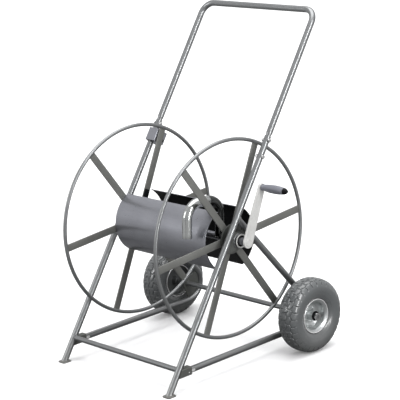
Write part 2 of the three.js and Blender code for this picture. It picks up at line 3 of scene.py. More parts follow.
import bpy
import numpy as np
from bpy.props import FloatProperty, FloatVectorProperty, IntProperty, PointerProperty
from mathutils import Matrix, Vector


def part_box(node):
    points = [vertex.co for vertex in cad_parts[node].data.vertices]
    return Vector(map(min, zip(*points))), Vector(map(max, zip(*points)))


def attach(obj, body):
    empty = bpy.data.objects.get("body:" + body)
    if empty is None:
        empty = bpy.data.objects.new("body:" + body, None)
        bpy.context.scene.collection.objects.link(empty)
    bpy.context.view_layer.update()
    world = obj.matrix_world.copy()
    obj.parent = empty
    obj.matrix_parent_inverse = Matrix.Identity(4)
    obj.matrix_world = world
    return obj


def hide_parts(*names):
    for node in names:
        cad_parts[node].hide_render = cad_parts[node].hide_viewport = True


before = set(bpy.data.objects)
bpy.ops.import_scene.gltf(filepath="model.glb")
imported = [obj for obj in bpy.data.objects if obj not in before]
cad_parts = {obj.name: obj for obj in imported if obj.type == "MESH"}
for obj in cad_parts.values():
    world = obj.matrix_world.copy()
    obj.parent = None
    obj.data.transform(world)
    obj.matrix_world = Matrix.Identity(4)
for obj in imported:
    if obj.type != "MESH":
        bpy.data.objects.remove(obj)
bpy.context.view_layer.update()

bl_info = {
    "name": "Hose Reel Cart",
    "version": (1, 0, 0),
    "blender": (4, 5, 0),
    "location": "3D View > Sidebar > Reel Cart",
    "description": "Builds the visible pieces of a hose reel cart on its packed frame",
    "category": "Object",
}

ROUND = 40          # columns of a round section
SHARP_ANGLE = radians(38)
TURN = 2 * pi


# ---------------------------------------------------------------- sizes and colours

def length(name, default, description):
    return FloatProperty(name=name, default=default, description=description, subtype="DISTANCE",
                         unit="LENGTH",
                         min=0.0, precision=4)


def angle(name, default, description):
    return FloatProperty(name=name, default=default, description=description, subtype="ANGLE",
                         unit="ROTATION")


def colour(name, default, description):
    return FloatVectorProperty(name=name, default=default, description=description, subtype="COLOR", size=3,
                               min=0.0, max=1.0)


class ReelCartSizes(bpy.types.PropertyGroup):
    """Sizes that the pieces share."""
    tube: length("Tube radius", 0.011, "Outside radius of the main tubes")
    slim_tube: length("Crossbar radius", 0.009, "Outside radius of the front crossbar")
    lean: angle("Leg lean", radians(55.4), "Angle of the legs from the floor")
    leg_front: length("Leg offset", 0.059, "How far the leg's line passes in front of the drum's axis")
    handle_bend: length("Handle bend", 0.046, "Centre line radius of the handle's two bends")
    rail_bend: length("Rail bend", 0.0665, "Centre line radius of the rail's bend round the axle")
    rail_slot: length("Rail slot", 0.0045, "Half the height of the slot through each rail")
    strut_back: length("Strut top, back", 0.004, "How far in front of the drum's axis the strut's end lies")
    strut_up: length("Strut top, up", 0.079, "How far above the drum's axis the strut's end lies")
    ring: length("Ring radius", 0.338, "Centre line radius of the flange rings")
    rod: length("Ring rod radius", 0.0065, "Radius of the rod that the rings are bent from")
    spoke_width: length("Spoke width", 0.026, "Width of the flat bar of the spokes")
    spoke_thickness: length("Spoke thickness", 0.005, "Thickness of the flat bar of the spokes")
    drum_turn: angle("Drum turn", radians(-4.5), "How far the drum stands turned at rest")
    spoke_phase: angle("Spoke phase", radians(9.3), "Angle of the first spoke on the drum")
    sheet: length("Sheet radius", 0.1135, "Middle radius of the drum's two sheets")
    sheet_thickness: length("Sheet thickness", 0.002, "Thickness of the drum's two sheets")
    sheet_half: angle("Sheet half angle", radians(60.5), "Half of the angle that one sheet covers")
    pipe: length("Pipe radius", 0.0169, "Outside radius of the goose neck")
    pipe_bore: length("Pipe bore", 0.0137, "Inside radius of the goose neck")
    pipe_pitch: length("Pipe pitch", 0.150, "Distance between the goose neck's two upright runs")
    pipe_top: length("Pipe top", 0.132, "Height of the goose neck's level run over the drum's axis")
    pipe_bend: length("Pipe bend", 0.055, "Centre line radius of the goose neck's two bends")
    crank: length("Crank length", 0.190, "Distance from the drum's axis to the grip's axis")
    crank_angle: angle("Crank angle", radians(65.5), "Angle of the crank at rest")
    tyre: length("Tyre radius", 0.130, "Radius over the tread")
    tread_blocks: IntProperty(name="Tread blocks", default=30, min=8, max=60,
                              description="Tread blocks round one tyre")
    tread_depth: length("Tread depth", 0.0030, "Depth of the grooves between the blocks")


class ReelCartColours(bpy.types.PropertyGroup):
    """Base colours of the finishes."""
    tube: colour("Tubes", (0.235, 0.241, 0.244), "Zinc coating on the tubes")
    bar: colour("Bars", (0.165, 0.167, 0.157), "Coating on the flat bars")
    hub: colour("Plates", (0.095, 0.099, 0.093), "Coating on the hub and bearing plates")
    sheet: colour("Drum sheets", (0.27, 0.275, 0.30), "Coating on the drum's sheets")
    # Painted shade: this near black stands for the shade inside the drum, on the sheets' inner faces and on
    # the spokes' faces there.
    inside: colour("Drum inside", (0.004, 0.0045, 0.005), "Dark inner faces of the drum's sheets")
    bright: colour("Bright steel", (0.55, 0.55, 0.55), "Fasteners and shaft")
    pipe: colour("Pipe", (0.42, 0.43, 0.425), "Goose neck")
    crank: colour("Crank arm", (0.56, 0.56, 0.545), "Dip galvanised crank")
    rim: colour("Rims", (0.50, 0.52, 0.52), "Silver paint of the rims")
    # The rims are given a darker colour on their inboard side.
    rim_back: colour("Rim backs", (0.11, 0.115, 0.115), "Darker inboard side of the rims")
    # Painted shade: the goose neck's run inside the drum gets a dark colour for the shade and dark
    # reflections there.
    pipe_shaded_run: colour("Pipe's inner run", (0.10, 0.104, 0.102),
                        "Run of the goose neck inside the drum, in painted shade")
    tyre: colour("Tyres", (0.086, 0.092, 0.094), "Rubber of the tyres")
    grip: colour("Grip", (0.155, 0.16, 0.185), "Plastic of the crank's grip")
    black: colour("Black plastic", (0.004, 0.004, 0.005), "Grip cap, bushes and lock knob")
    brass: colour("Brass", (0.55, 0.40, 0.18), "Water inlet")
    floor: colour("Floor", (0.92, 0.92, 0.92), "Floor and backdrop")


# ---------------------------------------------------------------- places taken from the frame

def centre(node):
    low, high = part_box(node)
    return (Vector(low) + Vector(high)) / 2


MIDDLE_X = (centre("left_leg_tube").x + centre("right_leg_tube").x) / 2
LEG_HALF = (centre("right_leg_tube").x - centre("left_leg_tube").x) / 2
AXIS_Y = centre("drum_shaft").y
AXIS_Z = centre("drum_shaft").z
AXLE_Y = centre("wheel_axle").y
AXLE_Z = centre("wheel_axle").z
FLOOR_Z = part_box("right_foot")[0].z
SIDES = (("left", -1), ("right", 1))


def leg_point(sizes, side, station, offset=0.0):
    """A point on a leg's line: station runs up along it from axis height, and offset runs square to it,
    backwards."""
    return np.array([
        MIDDLE_X + side * LEG_HALF,
        AXIS_Y - sizes.leg_front + station * cos(sizes.lean) + offset * sin(sizes.lean),
        AXIS_Z + station * sin(sizes.lean) - offset * cos(sizes.lean),
    ])


def leg_stations(sizes, node):
    """Where a node that follows the leg's line begins and ends along it, from the heights of its box."""
    low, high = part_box(node)
    return (low.z - AXIS_Z) / sin(sizes.lean), (high.z - AXIS_Z) / sin(sizes.lean)


def turned_with_drum(sizes, points):
    """Points drawn about the drum's axis at no turn, (x, y, z) from the axis, put in their place: a turn
    about X and a move."""
    c, s = cos(sizes.drum_turn), sin(sizes.drum_turn)
    x, y, z = np.moveaxis(np.asarray(points, float), -1, 0)
    return np.stack([x + MIDDLE_X, AXIS_Y + c * y - s * z, AXIS_Z + s * y + c * z], -1)


# ---------------------------------------------------------------- surfaces as arrays

def round_angles(count):
    return np.arange(count) * TURN / count


def circle(radius, count=ROUND):
    """Points (radius cos t, radius sin t) for t once round."""
    t = round_angles(count)
    return radius * np.stack([np.cos(t), np.sin(t)], -1)


def rounded_bar(half_width, half_thickness, corner, steps=4):
    """A rectangle's outline whose corners are quarter circles: corner centre plus corner radius times (cos
    t, sin t)."""
    t = np.linspace(0, pi / 2, steps)
    quarter = [np.stack([np.cos(t + k * pi / 2), np.sin(t + k * pi / 2)], -1) * corner for k in range(4)]
    signs = [(1, 1), (-1, 1), (-1, -1), (1, -1)]
    return np.concatenate([
        q + np.array([sx * (half_width - corner), sy * (half_thickness - corner)])
        for q, (sx, sy) in zip(quarter, signs)
    ])


def rounded_path(corners, radius, steps=14, straight=10):
    """A line of straight runs joined by arcs of one radius. Each arc leaves its corner's first run at
    radius * tan(turn / 2)
    before the corner and follows start + radius * (sin a * before + (1 - cos a) * side). Gives points and
    tangents."""
    corners = [np.asarray(c, float) for c in corners]
    points, tangents = [], []

    def run(a, b):
        t = np.linspace(0, 1, straight)[:, None]
        points.append(a + (b - a) * t)
        tangents.append(np.repeat(((b - a) / np.linalg.norm(b - a))[None], straight, 0))

    here = corners[0]
    for before_corner, corner, after_corner in zip(corners, corners[1:], corners[2:]):
        before = (corner - before_corner) / np.linalg.norm(corner - before_corner)
        after = (after_corner - corner) / np.linalg.norm(after_corner - corner)
        turn = np.arccos(np.clip(before @ after, -1, 1))
        back = radius * np.tan(turn / 2)
        side = after - before * np.cos(turn)
        side /= np.linalg.norm(side)
        start = corner - before * back
        run(here, start)
        a = np.linspace(0, turn, steps)[1:-1, None]
        points.append(start + radius * (np.sin(a) * before + (1 - np.cos(a)) * side))
        tangents.append(np.cos(a) * before + np.sin(a) * side)
        here = corner + after * back
    run(here, corners[-1])
    return np.concatenate(points), np.concatenate(tangents)


def swept(points, tangents, section, normal):
    """A section carried along a path that lies in one plane: point + u * (normal x tangent) + v * normal.
    The section is one outline (m, 2), or one for each point of the path (n, m, 2)."""
    normal = np.asarray(normal, float)
    across = np.cross(normal, tangents)
    section = np.broadcast_to(section, (len(points),) + section.shape[-2:])
    return points[:, None] + section[..., :1] * across[:, None] + section[..., 1:] * normal


def turned_about_x(profile, place, count=ROUND):
    """A profile of (x, r) pairs turned about X through place: (x, r cos t, r sin t)."""
    profile = np.asarray(profile, float)
    t = round_angles(count)
    x = np.repeat(profile[:, :1], count, 1)
    r = profile[:, 1:]
    return np.stack([place[0] + x, place[1] + r * np.cos(t), place[2] + r * np.sin(t)], -1)


def along(grid, start, direction):
    """Points drawn along +X from the origin, laid along a direction in the (y, z) plane through X's own
    line: x goes along it."""
    d = np.asarray(direction, float) / np.linalg.norm(direction)
    side = np.array([1.0, 0.0, 0.0]) if abs(d[0]) < 0.9 else np.array([0.0, 1.0, 0.0])
    third = np.cross(d, side)
    third /= np.linalg.norm(third)
    side = np.cross(third, d)
    return np.asarray(start) + grid[..., :1] * d + grid[..., 1:2] * side + grid[..., 2:] * third


def plate_rows(outline, x_low, x_high, edge, place):
    """A flat plate with eased edges: the outline at both faces drawn in by edge, and at full size edge
    below them."""
    outline = np.asarray(outline, float)
    middle = outline.mean(0)
    reach = np.linalg.norm(outline - middle, axis=1, keepdims=True)
    drawn_in = middle + (outline - middle) * (1 - edge / reach)
    rows = [(x_low, drawn_in), (x_low + edge, outline), (x_high - edge, outline), (x_high, drawn_in)]
    return np.stack([
        np.column_stack([np.full(len(o), place[0] + x), place[1] + o[:, 0], place[2] + o[:, 1]])
        for x, o in rows
    ])


def pierced_rows(outline, hole, x_low, x_high, edge, place):
    """A plate with one hole: its section runs out over one face, over the rim, back over the other face
    and through the hole."""
    outer = plate_rows(outline, x_low, x_high, edge, place)
    t = np.arctan2(outline[:, 1] - hole[1], outline[:, 0] - hole[0])
    y, z = place[1] + hole[0] + hole[2] * np.cos(t), place[2] + hole[1] + hole[2] * np.sin(t)
    inner = np.stack([np.column_stack([np.full(len(t), place[0] + x), y, z]) for x in (x_high, x_low)])
    return np.concatenate([outer, inner])


def polygon_rays(corners, around, count=96):
    """Where rays from one point meet a polygon, for even angles and the corners' own: the nearest crossing
    with each side."""
    corners = np.asarray(corners, float) - around
    t = np.sort(np.concatenate([round_angles(count) - pi + 1e-4, np.arctan2(corners[:, 1], corners[:, 0])]))
    ray = np.stack([np.cos(t), np.sin(t)], -1)[:, None]
    a, b = corners[None], np.roll(corners, -1, 0)[None]
    side = b - a
    cross = lambda p, q: p[..., 0] * q[..., 1] - p[..., 1] * q[..., 0]
    below = cross(ray, side)
    below = np.where(np.abs(below) < 1e-12, 1e-12, below)
    reach, share = cross(a, side) / below, cross(a, ray) / below
    reach = np.where((share > -1e-6) & (share < 1 + 1e-6) & (reach > 0), reach, np.inf).min(1)
    return np.asarray(around) + ray[:, 0] * reach[:, None]


def bead(points, tangents_out, radius, seed, ripples=26):
    """A weld bead: a closed loop of points carries a small round section whose radius and lift ripple
    along it."""
    count = len(points)
    s = np.arange(count) / count * TURN
    ripple = 1 + 0.16 * np.sin(ripples * s + seed) + 0.06 * np.sin(3 * s + 2 * seed)
    forward = np.roll(points, -1, 0) - np.roll(points, 1, 0)
    forward /= np.linalg.norm(forward, axis=1, keepdims=True)
    out = tangents_out / np.linalg.norm(tangents_out, axis=1, keepdims=True)
    other = np.cross(forward, out)
    t = round_angles(10)
    return (points[:, None] + radius * ripple[:, None, None]
            * (np.cos(t)[None, :, None] * out[:, None] + np.sin(t)[None, :, None] * other[:, None]))


def saddle_bead(centre_a, dir_a, radius_a, centre_b, dir_b, radius_b, towards, size, seed, count=140):
    """A bead where tube b ends on tube a: round b's section, each line of b is followed until it is
    radius_a from a's axis."""
    dir_a, dir_b = [np.asarray(d, float) / np.linalg.norm(d) for d in (dir_a, dir_b)]
    e = np.cross(dir_b, dir_a)
    e /= np.linalg.norm(e)
    f = np.cross(dir_b, e)
    t = round_angles(count)
    around = np.cos(t)[:, None] * e + np.sin(t)[:, None] * f
    base = np.asarray(centre_b) + radius_b * around - np.asarray(centre_a)
    flat = lambda v: v - (v @ dir_a)[..., None] * dir_a
    p, d = flat(base), flat(dir_b[None])[0]
    half_b, c = p @ d, (p * p).sum(1) - radius_a ** 2
    root = np.sqrt(np.maximum(half_b ** 2 - (d @ d) * c, 0))
    reach = (-half_b + towards * root) / (d @ d)
    spot = np.asarray(centre_a) + base + reach[:, None] * dir_b
    return bead(spot, around + 1e-6, size, seed)


def smooth_step(value, low, high):
    """0 below low, 1 above high, and 3 t^2 - 2 t^3 between them."""
    t = np.clip((value - low) / (high - low), 0, 1)
    return t * t * (3 - 2 * t)


# ---------------------------------------------------------------- meshes

def grid_faces(rows, columns, rows_close):
    """Quads between neighbouring rows of a grid whose columns close round, as arrays of vertex numbers."""
    r = np.arange(rows if rows_close else rows - 1)[:, None]
    c = np.arange(columns)[None]
    following, next_row = (c + 1) % columns, (r + 1) % rows
    return np.stack([r * columns + c, r * columns + following, next_row * columns + following,
                     next_row * columns + c],
                    -1).reshape(-1, 4)


def signed_volume(points, quads, ends):
    """Sum of the tetrahedra from the origin to each face, positive when faces point outwards."""
    a, b, c, d = [points[quads[:, k]] for k in range(4)]
    total = np.einsum("ij,ij->", a, np.cross(b, c)) + np.einsum("ij,ij->", a, np.cross(c, d))
    for end in ends:
        p = points[np.array(end)]
        total += np.einsum("ij,ij->", np.repeat(p[:1], len(p) - 2, 0), np.cross(p[1:-1], p[2:]))
    return total


def piece(name, shells, finish, body, nodes=(), second=None):
    """Makes one object of closed shells. A shell is (grid, rows_close): a grid of points (rows, columns,
    3) whose columns close,
    and whose rows close too, or end in flat faces. second is (finish, test): faces whose middle passes the
    test take it."""
    points, faces, first = [], [], 0
    for grid, rows_close in shells:
        rows, columns = grid.shape[:2]
        flat = grid.reshape(-1, 3)
        quads = grid_faces(rows, columns, rows_close)
        ends = [] if rows_close else [list(range(columns))[::-1],
                                      list(range((rows - 1) * columns, rows * columns))]
        if signed_volume(flat - flat.mean(0), quads, ends) < 0:
            quads, ends = quads[:, ::-1], [end[::-1] for end in ends]
        points.append(flat)
        faces += (quads + first).tolist() + [[v + first for v in end] for end in ends]
        first += len(flat)
    mesh = bpy.data.meshes.new(name)
    mesh.from_pydata(np.concatenate(points).tolist(), [], faces)
    mesh.update()
    mesh.polygons.foreach_set("use_smooth", np.ones(len(mesh.polygons), bool))
    mesh.set_sharp_from_angle(angle=SHARP_ANGLE)
    mesh.materials.append(finish)
    if second is not None:
        mesh.materials.append(second[0])
        middles = np.empty(len(mesh.polygons) * 3)
        mesh.polygons.foreach_get("center", middles)
        mesh.polygons.foreach_set("material_index", second[1](middles.reshape(-1, 3)).astype(np.int32))
    thing = bpy.data.objects.new(name, mesh)
    bpy.context.scene.collection.objects.link(thing)
    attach(thing, body)
    if nodes:
        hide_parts(*nodes)
    return thing


def cut_through(thing, outline, x_low, x_high):
    """Cuts a slot along X out of a piece: the (y, z) outline is carried from x_low to x_high, and that
    prism is taken away."""
    grid = np.stack([np.column_stack([np.full(len(outline), x), outline]) for x in (x_low, x_high)])
    quads = grid_faces(2, len(outline), False)
    ends = [list(range(len(outline)))[::-1], list(range(len(outline), 2 * len(outline)))]
    points = grid.reshape(-1, 3)
    if signed_volume(points - points.mean(0), quads, ends) < 0:
        quads, ends = quads[:, ::-1], [end[::-1] for end in ends]
    mesh = bpy.data.meshes.new("slot")
    mesh.from_pydata(points.tolist(), [], quads.tolist() + ends)
    cutter = bpy.data.objects.new("slot", mesh)
    bpy.context.scene.collection.objects.link(cutter)
    step = thing.modifiers.new("slot", "BOOLEAN")
    step.operation, step.solver, step.object = "DIFFERENCE", "EXACT", cutter
    graph = bpy.context.evaluated_depsgraph_get()
    done = bpy.data.meshes.new_from_object(thing.evaluated_get(graph))
    thing.modifiers.clear()
    thing.data = done
    done.set_sharp_from_angle(angle=SHARP_ANGLE)
    bpy.data.objects.remove(cutter)


# ---------------------------------------------------------------- finishes

def new_group(name, inputs, outputs):
    group = bpy.data.node_groups.new(name, "ShaderNodeTree")
    for label, kind, value in inputs:
        socket = group.interface.new_socket(name=label, in_out="INPUT", socket_type=kind)
        if value is not None:
            socket.default_value = value
    for label, kind in outputs:
        group.interface.new_socket(name=label, in_out="OUTPUT", socket_type=kind)
    return group, group.nodes.new("NodeGroupInput"), group.nodes.new("NodeGroupOutput")


def add_node(tree, kind, links=(), **values):
    """Adds a node, sets its properties or its inputs by name, and links sockets into its inputs."""
    node = tree.nodes.new(kind)
    for key, value in values.items():
        if hasattr(node, key):
            setattr(node, key, value)
        else:
            node.inputs[key.replace("_", " ")].default_value = value
    for key, source in dict(links).items():
        tree.links.new(source, node.inputs[key])
    return node


def math_node(tree, operation, a, b):
    node = tree.nodes.new("ShaderNodeMath")
    node.operation = operation
    for socket, value in zip(node.inputs, (a, b)):
        if isinstance(value, (int, float)):
            socket.default_value = value
        else:
            tree.links.new(value, socket)
    return node.outputs[0]


def coating_group():
    """A metal coating's unevenness: broad clouds, fine mottle and small pits. Gives a tone, a roughness
    change and a height."""
    group, inside, out = new_group("Coating unevenness", [
        ("Vector", "NodeSocketVector", None), ("Cloud scale", "NodeSocketFloat", 14.0),
        ("Mottle scale", "NodeSocketFloat", 260.0), ("Pit scale", "NodeSocketFloat", 900.0),
        ("Cloud share", "NodeSocketFloat", 0.6)],
        [("Tone", "NodeSocketFloat"), ("Roughness change", "NodeSocketFloat"), ("Height", "NodeSocketFloat")])
    cloud = add_node(group, "ShaderNodeTexNoise", {"Vector": inside.outputs["Vector"],
                     "Scale": inside.outputs["Cloud scale"]}, Detail=5.0, Roughness=0.6)
    mottle = add_node(group, "ShaderNodeTexNoise", {"Vector": inside.outputs["Vector"],
                      "Scale": inside.outputs["Mottle scale"]}, Detail=3.0, Roughness=0.5)
    pits = add_node(group, "ShaderNodeTexVoronoi", {"Vector": inside.outputs["Vector"],
                    "Scale": inside.outputs["Pit scale"]})
    share = inside.outputs["Cloud share"]
    rest = math_node(group, "SUBTRACT", 1.0, share)
    tone = math_node(group, "ADD", math_node(group, "MULTIPLY", cloud.outputs["Fac"], share),
                     math_node(group, "MULTIPLY", mottle.outputs["Fac"], rest))
    pit = math_node(group, "LESS_THAN", pits.outputs["Distance"], 0.12)
    height = math_node(group, "SUBTRACT", mottle.outputs["Fac"], math_node(group, "MULTIPLY", pit, 0.5))
    group.links.new(tone, out.inputs["Tone"])
    group.links.new(math_node(group, "SUBTRACT", tone, 0.5), out.inputs["Roughness change"])
    group.links.new(height, out.inputs["Height"])
    return group


def floor_dust_group():
    """Pale dust near the floor: a mask that fades with height and is broken up by noise."""
    group, inside, out = new_group("Floor dust", [
        ("Vector", "NodeSocketVector", None), ("Reach", "NodeSocketFloat", 0.12),
        ("Amount", "NodeSocketFloat", 0.3)],
        [("Mask", "NodeSocketFloat")])
    parts = add_node(group, "ShaderNodeSeparateXYZ", {"Vector": inside.outputs["Vector"]})
    height = math_node(group, "DIVIDE", parts.outputs["Z"], inside.outputs["Reach"])
    fade = math_node(group, "MAXIMUM", math_node(group, "SUBTRACT", 1.0, height), 0.0)
    noise = add_node(group, "ShaderNodeTexNoise", {"Vector": inside.outputs["Vector"]}, Scale=45.0,
                     Detail=6.0)
    patch = math_node(group, "MULTIPLY", fade, noise.outputs["Fac"])
    group.links.new(math_node(group, "MULTIPLY", patch, inside.outputs["Amount"]), out.inputs["Mask"])
    return group


def brushed_group():
    """Lines left by drawing, rolling or turning: noise stretched along one direction. Gives a tone and a
    height."""
    group, inside, out = new_group("Drawn lines", [
        ("Vector", "NodeSocketVector", None), ("Stretch", "NodeSocketVector", (1.0, 1.0, 1.0)),
        ("Scale", "NodeSocketFloat", 200.0)],
        [("Tone", "NodeSocketFloat"), ("Height", "NodeSocketFloat")])
    scaled = add_node(group, "ShaderNodeVectorMath",
                      {0: inside.outputs["Vector"], 1: inside.outputs["Stretch"]},
                      operation="MULTIPLY")
    noise = add_node(group, "ShaderNodeTexNoise",
                     {"Vector": scaled.outputs[0], "Scale": inside.outputs["Scale"]},
                     Detail=4.0, Roughness=0.65)
    group.links.new(noise.outputs["Fac"], out.inputs["Tone"])
    group.links.new(noise.outputs["Fac"], out.inputs["Height"])
    return group


GROUPS = {}
FINISHES = {}


def coated(name, base, metallic, roughness, spread=0.10, tone_range=(0.86, 1.12), bump=0.12, cloud=14.0,
           mottle=260.0,
           share=0.6, stretch=None, line_scale=300.0, dust=0.25, coat=0.0, specular=0.5):
    """A metal or plastic finish: the base colour varied by the coating's tone, optional drawn lines, and
    dust near the floor."""
    made = bpy.data.materials.new(name)
    made.use_nodes = True
    tree = made.node_tree
    shader = tree.nodes["Principled BSDF"]
    shader.inputs["Metallic"].default_value = metallic
    shader.inputs["Coat Weight"].default_value = coat
    shader.inputs["Coat Roughness"].default_value = 0.12
    shader.inputs["Specular IOR Level"].default_value = specular
    where = tree.nodes.new("ShaderNodeTexCoord").outputs["Object"]
    coating = add_node(tree, "ShaderNodeGroup", node_tree=GROUPS["coating"])
    tree.links.new(where, coating.inputs["Vector"])
    for key, value in (("Cloud scale", cloud), ("Mottle scale", mottle), ("Cloud share", share)):
        coating.inputs[key].default_value = value
    tone, height = coating.outputs["Tone"], coating.outputs["Height"]
    if stretch is not None:
        lines = add_node(tree, "ShaderNodeGroup", node_tree=GROUPS["lines"])
        tree.links.new(where, lines.inputs["Vector"])
        lines.inputs["Stretch"].default_value = stretch
        lines.inputs["Scale"].default_value = line_scale
        tone = math_node(tree, "MULTIPLY", math_node(tree, "ADD", tone, lines.outputs["Tone"]), 0.5)
        height = math_node(tree, "ADD", math_node(tree, "MULTIPLY", height, 0.4), lines.outputs["Height"])
    ramp = tree.nodes.new("ShaderNodeValToRGB")
    low, high = ramp.color_ramp.elements
    low.position, high.position = 0.34, 0.66
    low.color = [min(1.0, c * tone_range[0]) for c in base] + [1.0]
    high.color = [min(1.0, c * tone_range[1]) for c in base] + [1.0]
    tree.links.new(tone, ramp.inputs["Fac"])
    dusty = add_node(tree, "ShaderNodeGroup", node_tree=GROUPS["dust"])
    tree.links.new(where, dusty.inputs["Vector"])
    dusty.inputs["Amount"].default_value = dust
    mix = tree.nodes.new("ShaderNodeMix")
    mix.data_type = "RGBA"
    mix.inputs["B"].default_value = (0.34, 0.32, 0.29, 1.0)
    tree.links.new(dusty.outputs["Mask"], mix.inputs["Factor"])
    tree.links.new(ramp.outputs["Color"], mix.inputs["A"])
    tree.links.new(mix.outputs["Result"], shader.inputs["Base Color"])
    rough = math_node(tree, "ADD", math_node(tree, "MULTIPLY", coating.outputs["Roughness change"],
                                             spread * 4), roughness)
    rough = math_node(tree, "ADD", rough, math_node(tree, "MULTIPLY", dusty.outputs["Mask"], 0.3))
    tree.links.new(rough, shader.inputs["Roughness"])
    bumped = add_node(tree, "ShaderNodeBump", {"Height": height}, Strength=bump, Distance=0.0006)
    tree.links.new(bumped.outputs["Normal"], shader.inputs["Normal"])
    return made


def make_finishes(colours):
    GROUPS.update(coating=coating_group(), dust=floor_dust_group(), lines=brushed_group())
    FINISHES.update({
        "tube": coated("Zinc coated tube", colours.tube, 0.85, 0.30, spread=0.04, bump=0.015,
                       tone_range=(0.93, 1.06)),
        "ring": coated("Zinc coated rod", colours.tube, 0.8, 0.34, spread=0.04, bump=0.015,
                       tone_range=(0.93, 1.06)),
        "bar": coated("Coated flat bar", colours.bar, 0.45, 0.50, spread=0.08, bump=0.05, cloud=5.0,
                      share=0.8,
                      tone_range=(0.78, 1.16)),
        "hub": coated("Dark coated plate", colours.hub, 0.45, 0.48, spread=0.08, bump=0.05,
                      tone_range=(0.84, 1.12)),
        "sheet": coated("Coated drum sheet", colours.sheet, 0.78, 0.30, spread=0.05, bump=0.03,
                        stretch=(0.05, 1.0, 1.0),
                        line_scale=340.0, tone_range=(0.93, 1.06)),
        # Painted shade inside the drum: a near-black finish for the sheets' inner faces and the spokes' faces
        # there.
        "inside": coated("Painted shade inside the drum", colours.inside, 0.0, 0.55, spread=0.06, bump=0.04,
                         specular=0.15),
        "bright": coated("Bright zinc", colours.bright, 1.0, 0.20, spread=0.05, bump=0.03,
                         tone_range=(0.9, 1.05)),
        "pipe": coated("Polished pipe", colours.pipe, 1.0, 0.15, spread=0.03, bump=0.01,
                       tone_range=(0.94, 1.04)),
        "crank": coated("Dip galvanised plate", colours.crank, 0.15, 0.5, spread=0.08, bump=0.10, cloud=30.0,
                        mottle=150.0, tone_range=(0.90, 1.06)),
        "rim_back": coated("Rim back", colours.rim_back, 0.45, 0.42, spread=0.06, bump=0.05),
        "pipe_shaded_run": coated("Shaded end of the pipe", colours.pipe_shaded_run, 1.0, 0.22, spread=0.03,
                              bump=0.01),
        "rim": coated("Silver rim paint", colours.rim, 0.75, 0.30, spread=0.05, bump=0.04, coat=0.2),
        # Painted highlight: a brighter copy of bright steel for the white glint along the rims' edges and in
        # the rails' slots.
        "lip": coated("Rim edge with painted highlight", colours.bright, 0.5, 0.32, spread=0.05, bump=0.03,
                      tone_range=(1.3, 1.5)),
        "tyre": coated("Tyre rubber", colours.tyre, 0.0, 0.30, spread=0.06, bump=0.06, mottle=420.0,
                       tone_range=(0.90, 1.10), dust=0.22, coat=0.5, specular=0.75),
        "grip": coated("Grip plastic", colours.grip, 0.0, 0.42, spread=0.08, bump=0.08, mottle=500.0),
        "black": coated("Black plastic", colours.black, 0.0, 0.45, spread=0.08, bump=0.06, mottle=500.0,
                        specular=0.12),
        "brass": coated("Turned brass", colours.brass, 1.0, 0.26, spread=0.08, bump=0.05,
                        stretch=(1.0, 0.05, 0.05),
                        line_scale=500.0),
    })


# ---------------------------------------------------------------- operators

def strut_line(sizes):
    """The strut's end on the leg, its foot on the rail's line and its direction: the tangent to the bend's
    circle."""
    top = np.array([AXIS_Y - sizes.strut_back, AXIS_Z + sizes.strut_up])
    away = top - np.array([AXLE_Y, AXLE_Z])
    normal = np.arctan2(away[1], away[0]) - np.arccos(sizes.rail_bend / np.linalg.norm(away))
    run = np.array([-sin(normal), cos(normal)])
    return top, run, normal


